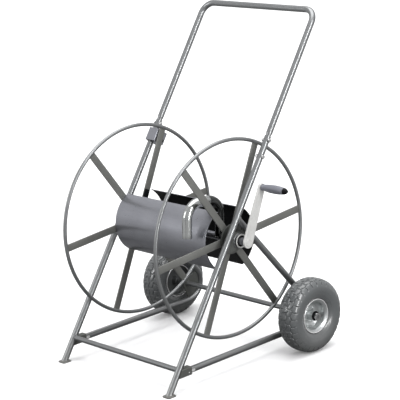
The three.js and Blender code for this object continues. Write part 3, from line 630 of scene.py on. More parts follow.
class REELCART_OT_frame_tubes(bpy.types.Operator):
    """Builds the legs, the rails with their struts, the crossbar and their weld beads"""
    bl_idname = "reelcart.frame_tubes"
    bl_label = "Frame tubes"
    bl_options = {"REGISTER", "UNDO"}

    def execute(self, context):
        sizes = context.scene.reel_cart_sizes
        up = np.array([0.0, cos(sizes.lean), sin(sizes.lean)])
        top, run, _ = strut_line(sizes)
        rail_z = AXLE_Z - sizes.rail_bend
        foot_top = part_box("right_foot")[1].z
        for word, side in SIDES:
            x = MIDDLE_X + side * LEG_HALF
            high = leg_stations(sizes, f"{word}_leg_tube")[1]
            top_station = high - sizes.tube * cos(sizes.lean) / sin(sizes.lean)
            low_station = (foot_top - AXIS_Z) / sin(sizes.lean)
            section = circle(sizes.tube)
            # The lowest row is cut level with the floor, so each of its points slides along the leg by its
            # own height.
            bottom = leg_point(sizes, side, low_station)
            rows = swept(np.stack([bottom, bottom + 0.05 * up]), np.stack([up, up]), section, (1, 0, 0))
            rows[0] -= ((rows[0][:, 2] - foot_top) / up[2])[:, None] * up
            t = np.linspace(0, 1, 24)[:, None]
            rest = swept(bottom + (top_station - low_station) * up * (0.09 + 0.91 * t),
                         np.repeat(up[None], 24, 0),
                         section, (1, 0, 0))
            lip = swept(leg_point(sizes, side, top_station)[None], up[None], circle(sizes.tube - 0.0022),
                        (1, 0, 0))
            inside = swept(leg_point(sizes, side, top_station - 0.02)[None], up[None],
                           circle(sizes.tube - 0.0022),
                           (1, 0, 0))
            piece(f"{word}_leg", [(np.concatenate([rows[:1], rest, lip, inside]), False)], FINISHES["tube"],
                  "frame",
                  (f"{word}_leg_tube",))

            rail_start = np.array([x, AXIS_Y - sizes.leg_front + (rail_z - AXIS_Z) / np.tan(sizes.lean),
                                   rail_z])
            corner = np.array([x, top[0] + (rail_z - top[1]) * run[0] / run[1], rail_z])
            strut_end = np.array([x, *top])
            points, tangents = rounded_path([rail_start, corner, strut_end], sizes.rail_bend, steps=26)
            grid = swept(points, tangents, section, (1, 0, 0))
            rail = piece(f"{word}_rail_and_strut", [(grid, False)], FINISHES["tube"], "frame",
                         (f"{word}_side_tube",))
            socket_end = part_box(f"{word}_rail_socket")[1].y
            turn = np.linspace(-pi / 2, pi / 2, 14)
            half_circle = sizes.rail_slot * np.column_stack([np.cos(turn), np.sin(turn)])
            slot = (np.concatenate([half_circle + [0.0118, 0], -half_circle + [0.0050, 0]])
                    + [socket_end, rail_z])
            cut_through(rail, slot, x - 2 * sizes.tube, x + 2 * sizes.tube)
            # Painted highlight: a thin bright plate fills the slot for the bright spot seen there. It is no
            # part of the cart.
            slot_highlight_outline = slot.mean(0) + (slot - slot.mean(0)) * 0.97
            reach = sizes.tube - 0.0003
            rows = [np.column_stack([np.full(len(slot_highlight_outline), x + end), slot_highlight_outline]) for end in (-reach, reach)]
            piece(f"{word}_slot_highlight", [(np.stack(rows), False)], FINISHES["lip"], "frame")
            weld = saddle_bead(leg_point(sizes, side, 0), up, sizes.tube, strut_end, [0.0, *(-run)],
                               sizes.tube, 1,
                               0.0024, 1.7)
            piece(f"{word}_strut_weld", [(weld, True)], FINISHES["tube"], "frame")

        cross = centre("front_crossbar")
        ends = [np.array([MIDDLE_X + s * LEG_HALF, cross.y, cross.z]) for s in (-1, 1)]
        t = np.linspace(0, 1, 12)[:, None]
        grid = swept(ends[0] + (ends[1] - ends[0]) * t, np.repeat([[1.0, 0, 0]], 12, 0),
                     circle(sizes.slim_tube), (0, 0, 1))
        beads = [
            saddle_bead(leg_point(sizes, s, 0), up, sizes.tube, ends[k], [1.0, 0, 0], sizes.slim_tube, -s,
                        0.0022, 0.9 + k)
            for k, s in enumerate((-1, 1))
        ]
        piece("crossbar", [(grid, False)] + [(b, True) for b in beads], FINISHES["tube"], "frame",
              ("front_crossbar",))
        return {"FINISHED"}


class REELCART_OT_handle(bpy.types.Operator):
    """Builds the bent handle with its two drawn-down ends"""
    bl_idname = "reelcart.handle"
    bl_label = "Handle"
    bl_options = {"REGISTER", "UNDO"}

    def execute(self, context):
        sizes = context.scene.reel_cart_sizes
        up = np.array([0.0, cos(sizes.lean), sin(sizes.lean)])
        out = np.array([0.0, sin(sizes.lean), -cos(sizes.lean)])
        low = leg_stations(sizes, "handle_tube")[0]
        top_station = (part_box("handle_tube")[1].z - sizes.tube - AXIS_Z) / sin(sizes.lean)
        joint = (leg_stations(sizes, "right_leg_tube")[1] - sizes.tube * cos(sizes.lean) / sin(sizes.lean)
                 + 0.0004)
        spigot_end = low + 0.006
        neck = 0.012
        corners = [leg_point(sizes, 1, spigot_end), leg_point(sizes, 1, top_station),
                   leg_point(sizes, -1, top_station),
                   leg_point(sizes, -1, spigot_end)]
        points, tangents = rounded_path(corners, sizes.handle_bend, steps=26, straight=90)
        station = (points - leg_point(sizes, 1, 0)) @ up
        radius = 0.0087 + (sizes.tube - 0.0087) * smooth_step(station, joint, joint + neck)
        sections = radius[:, None, None] * circle(1.0)
        piece("handle", [(swept(points, tangents, sections, out), False)], FINISHES["tube"], "frame",
              ("handle_tube",))
        return {"FINISHED"}


BOLT_HEAD_FLATS = 0.012               # across the flats of the handle bolts' heads and nuts
AXLE_NUT_FLATS = 0.026
RIM_BOLT_FLATS = 0.010


def hex_rows(across, x_low, x_high, place, turn=0.0, chamfer=0.0012, count=36):
    """A hexagon's prism whose ends are cut back to a circle: each radius is the smaller of the flat's and
    the cone's."""
    t = round_angles(count) + turn
    flat = across / 2 / np.cos((t - turn + pi / 6) % (pi / 3) - pi / 6)
    rows = [(x_low, np.full(count, across / 2 * 0.97)), (x_low + chamfer, flat), (x_high - chamfer, flat),
            (x_high, np.full(count, across / 2 * 0.97))]
    return np.stack([
        np.column_stack([np.full(count, place[0] + x), place[1] + r * np.cos(t), place[2] + r * np.sin(t)])
        for x, r in rows
    ])


def threaded_rows(radius, x_low, x_high, place, pitch=0.00125):
    """A threaded end: the radius falls and rises with the distance along it, once each pitch."""
    x = np.linspace(x_low, x_high, max(8, int(abs(x_high - x_low) / pitch * 6)))
    r = radius - 0.0004 * (0.5 - 0.5 * np.cos(TURN * (x - x_low) / pitch))
    r[-1] -= 0.0006
    return turned_about_x(np.column_stack([x, r]), place, 20)


class REELCART_OT_fasteners(bpy.types.Operator):
    """Builds the handle's bolts, washers and nuts, and the wheel nuts on the axle"""
    bl_idname = "reelcart.fasteners"
    bl_label = "Fasteners"
    bl_options = {"REGISTER", "UNDO"}

    def execute(self, context):
        for word, side in SIDES:
            for level in ("upper", "lower"):
                bolt, nut = f"{word}_{level}_handle_bolt", f"{word}_{level}_handle_nut"
                low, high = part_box(bolt)
                nut_low, nut_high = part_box(nut)
                place = (0.0, centre(nut).y, centre(nut).z)
                head_in = high.x - 0.005 if side > 0 else low.x + 0.005
                head_out = high.x if side > 0 else low.x
                tip = low.x if side > 0 else high.x
                x0, x1 = sorted((head_in, head_out))
                washer = turned_about_x([(head_in - side * 0.0002, 0.0075), (head_in - side * 0.0001, 0.0078),
                                         (head_in + side * 0.0009, 0.0078),
                                         (head_in + side * 0.0009, 0.0070)],
                                        place, 32)
                head = hex_rows(BOLT_HEAD_FLATS, x0 + (0.0009 if side > 0 else 0),
                                x1 - (0 if side > 0 else 0.0009), place, 0.3)
                x0, x1 = sorted((head_in, nut_high.x if side < 0 else nut_low.x))
                shank = turned_about_x([(x0, 0.003), (x1, 0.003)], place, 20)
                thread = threaded_rows(0.0029, nut_low.x if side > 0 else nut_high.x, tip, place)
                piece(f"{word}_{level}_bolt",
                      [(washer, False), (head, False), (shank, False), (thread, False)],
                      FINISHES["bright"], "frame", (bolt,))
                piece(f"{word}_{level}_nut",
                      [(hex_rows(BOLT_HEAD_FLATS, nut_low.x, nut_high.x, place, 0.8), False)],
                      FINISHES["bright"], "frame", (nut,))
            node = f"{word}_axle_nut"
            low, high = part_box(node)
            place = (0.0, AXLE_Y, AXLE_Z)
            piece(f"{word}_wheel_nut", [(hex_rows(AXLE_NUT_FLATS, low.x, high.x, place, 0.5, 0.002), False)],
                  FINISHES["bright"],
                  "frame", (node,))
        low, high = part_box("wheel_axle")
        collars = [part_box(f"{w}_axle_gusset") for w, _ in SIDES]
        half = (high.x - low.x) / 2
        inner = collars[1][1].x - MIDDLE_X + 0.0004
        outer = inner + 0.0408
        profile = []
        for s in (-1, 1):
            part = [(half, 0.0072), (half - 0.0018, 0.0089), (outer, 0.0089), (outer, 0.0124),
                    (outer - 0.0008, 0.0131),
                    (inner + 0.0008, 0.0131), (inner, 0.0124), (inner, 0.0089)]
            profile += [(s * x, r) for x, r in (part if s < 0 else part[::-1])]
        piece("axle", [(turned_about_x(profile, (MIDDLE_X, AXLE_Y, AXLE_Z)), False)], FINISHES["tube"],
              "frame",
              ("wheel_axle",))
        return {"FINISHED"}


class REELCART_OT_brackets(bpy.types.Operator):
    """Builds the feet, the axle and bearing plates, the bearing tubes, their bushes and the small base
    brackets"""
    bl_idname = "reelcart.brackets"
    bl_label = "Brackets and bearings"
    bl_options = {"REGISTER", "UNDO"}

    def sleeve_shells(self, sizes, low, high):
        """The folded sleeve: a rounded rectangle round the rail, with a round hole for it. Its front rows
        are moved along Y
        until they meet the leg: y = leg's centre at that height + sqrt(radius^2 - across^2) / sin(lean)."""
        half, rail_z = (high.x - low.x) / 2, AXLE_Z - sizes.rail_bend
        middle = (low + high) / 2
        outline = rounded_bar(half, (high.z - low.z) / 2, 0.003, 24) + [0.0, middle.z - rail_z]
        turn = np.arctan2(outline[:, 1], outline[:, 0])
        hole = (sizes.tube + 0.0003) * np.column_stack([np.cos(turn), np.sin(turn)])

        def row(section, y):
            return np.column_stack([middle.x + section[:, 0], np.broadcast_to(y, len(section)),
                                    rail_z + section[:, 1]])

        def on_leg(section):
            across = np.clip(np.abs(section[:, 0]), 0, sizes.tube)
            z = rail_z + section[:, 1]
            centre_y = AXIS_Y - sizes.leg_front + (z - AXIS_Z) / np.tan(sizes.lean)
            beside = np.abs(section[:, 0]) > sizes.tube
            return centre_y + np.where(beside, 0.001,
                                       np.sqrt(sizes.tube ** 2 - across ** 2) / sin(sizes.lean) + 0.0003)

        eased = outline * (1 - 0.0006 / half)
        rows = [row(outline, on_leg(outline)), row(outline, high.y - 0.0006), row(eased, high.y),
                row(hole, high.y),
                row(hole, high.y - 0.02), row(hole, on_leg(hole))]
        return [(np.stack(rows), True)]

    def execute(self, context):
        sizes = context.scene.reel_cart_sizes
        top, run, normal = strut_line(sizes)
        for word, side in SIDES:
            low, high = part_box(f"{word}_foot")
            middle = (low + high) / 2
            outline = rounded_bar(0.018, 0.018, 0.007, 8)
            rows = [(low.z, 0.965), (low.z + 0.0008, 1.0), (high.z - 0.0008, 1.0), (high.z, 0.965)]
            grid = np.stack([
                np.column_stack([middle.x + s * outline[:, 0], middle.y + s * outline[:, 1],
                                 np.full(len(outline), z)])
                for z, s in rows
            ])
            t = round_angles(120)
            ring = np.column_stack([middle.x + sizes.tube * np.sin(t),
                                    middle.y + sizes.tube * np.cos(t) / sin(sizes.lean),
                                    np.full(120, high.z + 0.0004)])
            ring[:, 1] += leg_point(sizes, side, (high.z - AXIS_Z) / sin(sizes.lean))[1] - middle.y
            outwards = np.column_stack([np.sin(t), np.cos(t), np.zeros(120)])
            piece(f"{word}_foot_plate", [(grid, False), (bead(ring, outwards, 0.0023, 0.5), True)],
                  FINISHES["bar"],
                  "frame", (f"{word}_foot",))

            low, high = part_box(f"{word}_rail_socket")
            piece(f"{word}_rail_sleeve", self.sleeve_shells(sizes, low, high), FINISHES["hub"], "frame",
                  (f"{word}_rail_socket",))
            rivet_place = (0.0, high.y - 0.012, AXLE_Z - sizes.rail_bend - 0.003)
            face = high.x if side > 0 else low.x
            s = np.linspace(0, 0.98, 8)
            rivet = turned_about_x(np.column_stack([face + side * 0.0016 * s, 0.0036 * np.sqrt(1 - s ** 2)]),
                                   rivet_place, 24)
            piece(f"{word}_rail_rivet", [(rivet, False)], FINISHES["bright"], "frame")

            low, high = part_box(f"{word}_axle_gusset")
            reach, boss = sizes.rail_bend - sizes.tube - 0.0004, 0.020
            arc = np.linspace(-pi / 2, normal, 44)
            back = np.linspace(normal + pi / 3, 7 * pi / 6, 26)
            outline = np.concatenate([reach * np.column_stack([np.cos(arc), np.sin(arc)]),
                                      boss * np.column_stack([np.cos(back), np.sin(back)])])
            grid = pierced_rows(outline, (0.0, 0.0, 0.0093), low.x, high.x, 0.0005, (0.0, AXLE_Y, AXLE_Z))
            t = round_angles(90)
            around = np.column_stack([np.zeros(90), np.cos(t), np.sin(t)])
            spot = np.array([high.x if side < 0 else low.x, AXLE_Y, AXLE_Z]) + 0.0097 * around
            piece(f"{word}_axle_plate", [(grid, True), (bead(spot, around, 0.0020, 1.1), True)],
                  FINISHES["hub"], "frame",
                  (f"{word}_axle_gusset",))

            low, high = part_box(f"{word}_bearing_gusset")
            clear = sizes.tube + 0.0002
            front = lambda z: -sizes.leg_front + z / np.tan(sizes.lean) + clear / sin(sizes.lean)
            rear = lambda z: top[0] - AXIS_Y + (z + AXIS_Z - top[1]) * run[0] / run[1] - clear / run[1]
            down, lift = low.z - AXIS_Z, high.z - AXIS_Z
            outline = polygon_rays([(front(down), down), (rear(down), down), (rear(lift), lift),
                                    (front(lift), lift)],
                                   (0.0, 0.0))
            grid = pierced_rows(outline, (0.0, 0.0, 0.0242), low.x, high.x, 0.0004, (0.0, AXIS_Y, AXIS_Z))
            piece(f"{word}_bearing_plate", [(grid, True)], FINISHES["hub"], "frame",
                  (f"{word}_bearing_gusset",))

            plate_outer = high.x if side > 0 else low.x
            low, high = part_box(f"{word}_bearing_tube")
            radius, bore = (high.z - low.z) / 2, 0.019
            profile = [(low.x, bore + 0.0008), (low.x, radius - 0.0008), (low.x + 0.0008, radius),
                       (high.x - 0.0008, radius), (high.x, radius - 0.0008), (high.x, bore + 0.0008),
                       (high.x - 0.0008, bore), (low.x + 0.0008, bore)]
            face = high.x if side > 0 else low.x
            spot = np.array([plate_outer + side * 0.0005, AXIS_Y, AXIS_Z]) + (radius + 0.0004) * around
            piece(f"{word}_bearing_housing",
                  [(turned_about_x(profile, (0.0, AXIS_Y, AXIS_Z), 56), True),
                   (bead(spot, around, 0.0024, 2.2), True)],
                  FINISHES["tube"], "frame", (f"{word}_bearing_tube",),
                  (FINISHES["crank"], lambda m: np.abs(m[:, 0] - face) < 0.0006))

            low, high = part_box(f"{word}_bearing_bush")
            inner, outer = (low.x, high.x) if side > 0 else (high.x, low.x)
            shaft, sleeve, collar = 0.0138, 0.0187, 0.0225
            profile = [(inner, shaft + 0.0005), (inner, collar - 0.0008), (inner + side * 0.0008, collar),
                       (inner + side * 0.0040, collar), (inner + side * 0.0046, sleeve),
                       (outer - side * 0.0006, sleeve), (outer, sleeve - 0.0006), (outer, shaft + 0.0006),
                       (outer - side * 0.0006, shaft)]
            piece(f"{word}_bush", [(turned_about_x(profile, (0.0, AXIS_Y, AXIS_Z), 56), True)],
                  FINISHES["black"],
                  "frame", (f"{word}_bearing_bush",))
        return {"FINISHED"}


class REELCART_OT_flanges(bpy.types.Operator):
    """Builds both flanges: the ring, its butt weld, the flat bar spokes and the hub disc"""
    bl_idname = "reelcart.flanges"
    bl_label = "Flanges"
    bl_options = {"REGISTER", "UNDO"}

    def execute(self, context):
        sizes = context.scene.reel_cart_sizes
        t = round_angles(220)
        for word, side in SIDES:
            x = centre(f"{word}_ring").x - MIDDLE_X
            # The ring is one bent rod; the radius swells a little where its ends are welded together.
            seam = np.exp(-(((t - 0.9 + pi) % TURN - pi) / 0.011) ** 2)
            radius = sizes.rod * (1 + 0.10 * seam)
            around = np.column_stack([np.zeros(220), np.cos(t), np.sin(t)])
            tangents = np.column_stack([np.zeros(220), -np.sin(t), np.cos(t)])
            grid = swept(sizes.ring * around + [x, 0, 0], tangents, radius[:, None, None] * circle(1.0, 20),
                         (1, 0, 0))
            piece(f"{word}_flange_ring", [(turned_with_drum(sizes, grid), True)], FINISHES["ring"], "drum",
                  (f"{word}_ring",))

            start, end = 0.028, sizes.ring - sizes.rod + 0.0012
            outline = rounded_bar(sizes.spoke_width / 2, sizes.spoke_thickness / 2, 0.0011)
            for number in range(6):
                a = sizes.spoke_phase + number * pi / 3
                out = np.array([0.0, cos(a), sin(a)])
                s = np.linspace(start, end, 20)[:, None]
                bar = swept(s * out + [x, 0, 0], np.repeat(out[None], 20, 0), outline, (1, 0, 0))
                # Fillet welds where the bar meets the ring: one short bead on each face of the bar.
                across = np.array([0.0, -sin(a), cos(a)])
                beads = []
                for face in (-1, 1):
                    w = np.linspace(-1, 1, 24)[:, None]
                    reach = np.sqrt(sizes.ring ** 2 - (w * sizes.spoke_width / 2) ** 2) - sizes.rod * 0.82
                    line = (reach * out + w * sizes.spoke_width / 2 * across
                            + [x + face * sizes.spoke_thickness * 0.52, 0, 0])
                    swell = (0.0019 * np.sqrt(np.clip(1.04 - w ** 2, 0.05, 1))
                             * (1 + 0.15 * np.sin(w * 24 + number)))
                    beads.append(swept(line, np.repeat(across[None], 24, 0), swell[:, None] * circle(1.0, 10),
                                       (1, 0, 0)))
                # Painted shade: the bar's faces on the drum's side, inside the sheets' radius, take the
                # near-black inside finish for the shade there.
                inner_face = MIDDLE_X + x - side * sizes.spoke_thickness * 0.35
                shaded_in_drum = lambda m: (((m[:, 0] - inner_face) * side < 0)
                                     & (np.hypot(m[:, 1] - AXIS_Y, m[:, 2] - AXIS_Z) < sizes.sheet))
                piece(f"{word}_bar_{number + 1}",
                      [(turned_with_drum(sizes, g), False) for g in (bar, *beads)], FINISHES["bar"], "drum",
                      (f"{word}_spoke_{number + 1}",), (FINISHES["inside"], shaded_in_drum))

            low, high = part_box(f"{word}_hub_disc")
            x0, x1 = low.x - MIDDLE_X, high.x - MIDDLE_X
            profile = [(x0, 0.0138), (x0, 0.0508), (x0 + 0.0008, 0.0518), (x1 - 0.0008, 0.0518), (x1, 0.0508),
                       (x1, 0.0138)]
            disc = turned_about_x(profile, (0, 0, 0), 72)
            c = round_angles(100)
            around = np.column_stack([np.zeros(100), np.cos(c), np.sin(c)])
            outer_face = max((x0, x1), key=abs)
            collar = bead(np.array([outer_face, 0, 0]) + 0.0142 * around, around, 0.0022, 0.7)
            piece(f"{word}_hub_plate",
                  [(turned_with_drum(sizes, disc), True), (turned_with_drum(sizes, collar), True)],
                  FINISHES["hub"], "drum", (f"{word}_hub_disc",))
        return {"FINISHED"}


class REELCART_OT_drum(bpy.types.Operator):
    """Builds the drum's two bent sheets and its shaft"""
    bl_idname = "reelcart.drum"
    bl_label = "Drum"
    bl_options = {"REGISTER", "UNDO"}

    def execute(self, context):
        sizes = context.scene.reel_cart_sizes
        low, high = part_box("front_drum_sheet")
        half = (high.x - low.x) / 2
        for name, node, middle in (("front_sheet", "front_drum_sheet", pi),
                                   ("rear_sheet", "rear_drum_sheet", 0.0)):
            # The sheet's section is an outer and an inner arc; it is carried along X.
            a = np.linspace(-sizes.sheet_half, sizes.sheet_half, 90) + middle
            edge = sizes.sheet_thickness / 2
            outer = (sizes.sheet + edge) * np.column_stack([np.cos(a), np.sin(a)])
            inner = (sizes.sheet - edge) * np.column_stack([np.cos(a), np.sin(a)])[::-1]
            outline = np.concatenate([outer, inner])
            # A row half a millimetre from each end keeps the end's edge crisp.
            xs = np.concatenate([[-half], np.linspace(-half + 0.0005, half - 0.0005, 30), [half]])
            grid = np.stack([np.column_stack([np.full(len(outline), x), outline]) for x in xs])
            # Painted shade: faces on the sheets' inner side take the near-black inside finish for the shade
            # in the drum.
            shaded_inner_faces = lambda m: np.hypot(m[:, 1] - AXIS_Y, m[:, 2] - AXIS_Z) < sizes.sheet - edge / 2
            piece(name, [(turned_with_drum(sizes, grid), False)], FINISHES["sheet"], "drum",
                  (node,),
                  (FINISHES["inside"], shaded_inner_faces))

        low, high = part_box("drum_shaft")
        x0, x1, r = low.x - MIDDLE_X, high.x - MIDDLE_X, (high.z - low.z) / 2
        profile = [(x0 + 0.004, 0.0095), (x0, 0.0100), (x0, r - 0.001), (x0 + 0.001, r), (x1 - 0.001, r),
                   (x1, r - 0.001)]
        piece("shaft", [(turned_with_drum(sizes, turned_about_x(profile, (0, 0, 0), 48)), False)],
              FINISHES["sheet"],
              "drum", ("drum_shaft",))
        return {"FINISHED"}


class REELCART_OT_goose_neck(bpy.types.Operator):
    """Builds the bent hose pipe that comes up out of the shaft, with its open end and weld"""
    bl_idname = "reelcart.goose_neck"
    bl_label = "Goose neck"
    bl_options = {"REGISTER", "UNDO"}

    def execute(self, context):
        sizes = context.scene.reel_cart_sizes
        x = centre("goose_neck_pipe").x - MIDDLE_X
        back, top, end = -sizes.pipe_pitch, sizes.pipe_top, 0.018
        points, tangents = rounded_path([(x, 0, 0.004), (x, 0, top), (x, back, top), (x, back, end)],
                                        sizes.pipe_bend,
                                        steps=22)
        # The outside runs to the open end, over the lip and back up the bore.
        inside = [-1, -1, -3, -9, -16]
        bore_points, bore_tangents = points[inside], tangents[inside]
        radii = np.concatenate([np.full(len(points) - 1, sizes.pipe), [sizes.pipe - 0.0007],
                                [sizes.pipe_bore + 0.0005], np.full(4, sizes.pipe_bore)])
        bore_points[1] += [0, 0, 0.0006]
        path = np.concatenate([points, bore_points])
        directions = np.concatenate([tangents, bore_tangents])
        grid = swept(path, directions, radii[:, None, None] * circle(1.0, 48), (1, 0, 0))
        weld = saddle_bead((x, 0, 0), (1.0, 0, 0), 0.0134, (x, 0, 0.02), (0, 0, 1.0), sizes.pipe - 0.0006, 1,
                           0.0026, 0.3)
        # Painted shade: faces of the run inside the drum take the dark pipe finish for the shade there.
        piece("goose_neck", [(turned_with_drum(sizes, grid), False), (turned_with_drum(sizes, weld), True)],
              FINISHES["pipe"], "drum", ("goose_neck_pipe",),
              (FINISHES["pipe_shaded_run"], lambda m: m[:, 1] > AXIS_Y - 0.045))
        return {"FINISHED"}


def tapered_outline(length_, hub, tip, count=40):
    """Two circles joined by their outer tangents, which leave each circle at a quarter turn less the
    taper's angle."""
    taper = np.arcsin((hub - tip) / length_)
    big = np.linspace(pi / 2 - taper, 3 * pi / 2 + taper, count)
    small = np.linspace(-pi / 2 + taper, pi / 2 - taper, count)
    return np.concatenate([hub * np.column_stack([np.cos(big), np.sin(big)]),
                           tip * np.column_stack([np.cos(small), np.sin(small)]) + [length_, 0]])


class REELCART_OT_crank(bpy.types.Operator):
    """Builds the crank arm, its weld on the shaft, the spindle, the grip and the grip's cap"""
    bl_idname = "reelcart.crank"
    bl_label = "Crank"
    bl_options = {"REGISTER", "UNDO"}

    def execute(self, context):
        sizes = context.scene.reel_cart_sizes
        low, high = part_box("crank_arm")
        outline = tapered_outline(sizes.crank, 0.020, 0.014)
        c, s = cos(sizes.crank_angle), sin(sizes.crank_angle)
        outline = outline @ np.array([[c, s], [-s, c]])
        hub = (0.0, AXIS_Y, AXIS_Z)
        arm = plate_rows(outline, low.x, high.x, 0.0012, hub)
        # The shaft's end stands a little proud of the arm and is welded round.
        t = round_angles(90)
        around = np.column_stack([np.zeros(90), np.cos(t), np.sin(t)])
        stub = turned_about_x([(low.x + 0.001, 0.0105), (high.x + 0.0004, 0.0105), (high.x + 0.0012, 0.0096)],
                              hub, 40)
        weld = bead(np.array([high.x + 0.0001, AXIS_Y, AXIS_Z]) + 0.0112 * around, around, 0.0014, 1.3)
        piece("crank", [(arm, False), (stub, False), (weld, True)], FINISHES["crank"], "drum",
              ("crank_arm",))

        low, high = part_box("grip_spindle")
        axis = (0.0, (low.y + high.y) / 2, (low.z + high.z) / 2)
        profile = [(low.x, 0.0058), (low.x + 0.0012, 0.0070), (low.x + 0.0036, 0.0070),
                   (low.x + 0.0037, 0.0040),
                   (high.x - 0.004, 0.0040), (high.x - 0.004, 0.0065), (high.x, 0.0062)]
        piece("spindle", [(turned_about_x(profile, axis, 32), False)], FINISHES["bright"], "drum",
              ("grip_spindle",))

        low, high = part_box("crank_grip")
        size = high.x - low.x
        t = np.array([0, 0.008, 0.03, 0.055, 0.075, 0.12, 0.22, 0.34, 0.46, 0.58, 0.70, 0.80, 0.88, 0.95,
                      0.99, 1.0])
        r = np.array([10.4, 11.0, 11.3, 11.2, 10.7, 11.2, 12.5, 13.6, 14.3, 14.6, 14.4, 13.8, 13.0, 12.1,
                      11.5, 11.1]) * 1e-3
        fine = np.linspace(0, 1, 70)
        profile = np.column_stack([low.x + size * fine, np.interp(fine, t, r)])
        profile = np.concatenate([profile,
                                  [(high.x, 0.0072), (high.x - 0.016, 0.0072), (high.x - 0.016, 0.0045),
                                            (low.x, 0.0045)]])
        grid = turned_about_x(profile, axis, 64)
        # Shallow finger flutes run round the barrel's swell.
        angle_ = round_angles(64)
        share = np.clip((grid[:, 0, 0] - low.x) / size, 0, 1)
        flute = 1 - 0.012 * (0.5 + 0.5 * np.cos(8 * angle_))[None] * (smooth_step(share, 0.12, 0.3)
                                                                  * (1 - smooth_step(share, 0.8, 0.95)))[:,
                                                                                                         None]
        outer = (np.arange(len(profile)) < 70)[:, None]
        flute = np.where(outer, flute, 1.0)
        grid[..., 1] = axis[1] + (grid[..., 1] - axis[1]) * flute
        grid[..., 2] = axis[2] + (grid[..., 2] - axis[2]) * flute
        piece("grip", [(grid, True)], FINISHES["grip"], "grip", ("crank_grip",))

        low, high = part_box("grip_cap")
        size = high.x - low.x
        s = np.linspace(0, 1, 26)[:-1]
        r = 0.0112 * (1 - s ** 1.8)
        profile = np.column_stack([low.x + size * s, r])
        profile = np.concatenate([[(low.x, 0.0104)], profile[1:], [(high.x - 0.0002, 0.0008)]])
        piece("cap", [(turned_about_x(profile, axis, 48), False)], FINISHES["black"], "grip",
              ("grip_cap",))
        return {"FINISHED"}


class REELCART_OT_lock(bpy.types.Operator):
    """Builds the drum lock: the channel over the left leg keeps its own solid, and the knob and pin are
    turned anew"""
    bl_idname = "reelcart.lock"
    bl_label = "Drum lock"
    bl_options = {"REGISTER", "UNDO"}

    def execute(self, context):
        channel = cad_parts["lock_bracket"]
        channel.data.materials.clear()
        channel.data.materials.append(FINISHES["sheet"])
        low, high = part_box("drum_lock_pin")
        axis = (0.0, (low.y + high.y) / 2, (low.z + high.z) / 2)
        x = low.x
        profile = [(x, 0.0060), (x + 0.0010, 0.0078), (x + 0.0030, 0.0098), (x + 0.0048, 0.0113),
                   (x + 0.0065, 0.0115),
                   (x + 0.0100, 0.0115), (x + 0.0118, 0.0113), (x + 0.0128, 0.0100), (x + 0.0145, 0.0080),
                   (x + 0.0152, 0.0075), (x + 0.0152, 0.0060), (high.x - 0.003, 0.0060), (high.x, 0.0035)]
        knob = turned_about_x(profile, axis, 72)
        t = round_angles(72)
        wide = (np.linalg.norm(knob[:, 0, 1:] - np.array(axis[1:]), axis=1) > 0.0095)[:, None]
        knurl = np.where(wide, 1 - 0.05 * (0.5 + 0.5 * np.cos(12 * t))[None], 1.0)
        knob[..., 1] = axis[1] + (knob[..., 1] - axis[1]) * knurl
        knob[..., 2] = axis[2] + (knob[..., 2] - axis[2]) * knurl
        piece("lock_knob", [(knob, False)], FINISHES["black"], "lock", ("drum_lock_pin",))
        return {"FINISHED"}


class REELCART_OT_inlet(bpy.types.Operator):
    """Gives the water inlet its turned brass finish"""
    bl_idname = "reelcart.inlet"
    bl_label = "Water inlet"
    bl_options = {"REGISTER", "UNDO"}

    def execute(self, context):
        low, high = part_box("inlet_swivel")
        axis = (0.0, AXIS_Y, AXIS_Z)
        r = 0.019
        body = [(low.x, r - 0.004), (low.x + 0.0015, r - 0.0015), (low.x + 0.004, r), (low.x + 0.014, r),
                (low.x + 0.015, r - 0.0012), (low.x + 0.018, r - 0.0012), (low.x + 0.019, r),
                (high.x - 0.009, r),
                (high.x - 0.008, r - 0.0012), (high.x - 0.006, r - 0.0012), (high.x - 0.005, r),
                (high.x - 0.001, r),
                (high.x, r - 0.001), (high.x, 0.0139), (low.x + 0.039, 0.0139), (low.x + 0.037, 0.0132)]
        knuckle = (low.x + high.x) / 2 - 0.006
        drop = AXIS_Z - low.z
        s = np.linspace(0.014, drop, 120)
        grooves = 0.5 + 0.5 * ((s - 0.030) / 0.009 % 1.0)
        radius = np.where(s > 0.036, 0.0083 + 0.0017 * grooves, 0.0100)
        radius[-3:] = [0.0088, 0.0083, 0.0078]
        t = round_angles(40)
        tail = np.stack([knuckle + radius[:, None] * np.cos(t), AXIS_Y + radius[:, None] * np.sin(t),
                         AXIS_Z - np.repeat(s[:, None], 40, 1)], -1)
        bore = np.stack([np.stack([knuckle + 0.006 * np.cos(t), AXIS_Y + 0.006 * np.sin(t), np.full(40, z)],
                                  -1)
                         for z in (low.z, low.z + 0.03)])
        piece("inlet", [(turned_about_x(body, axis, 56), False), (np.concatenate([tail, bore]), False)],
              FINISHES["brass"], "inlet", ("inlet_swivel",))
        return {"FINISHED"}


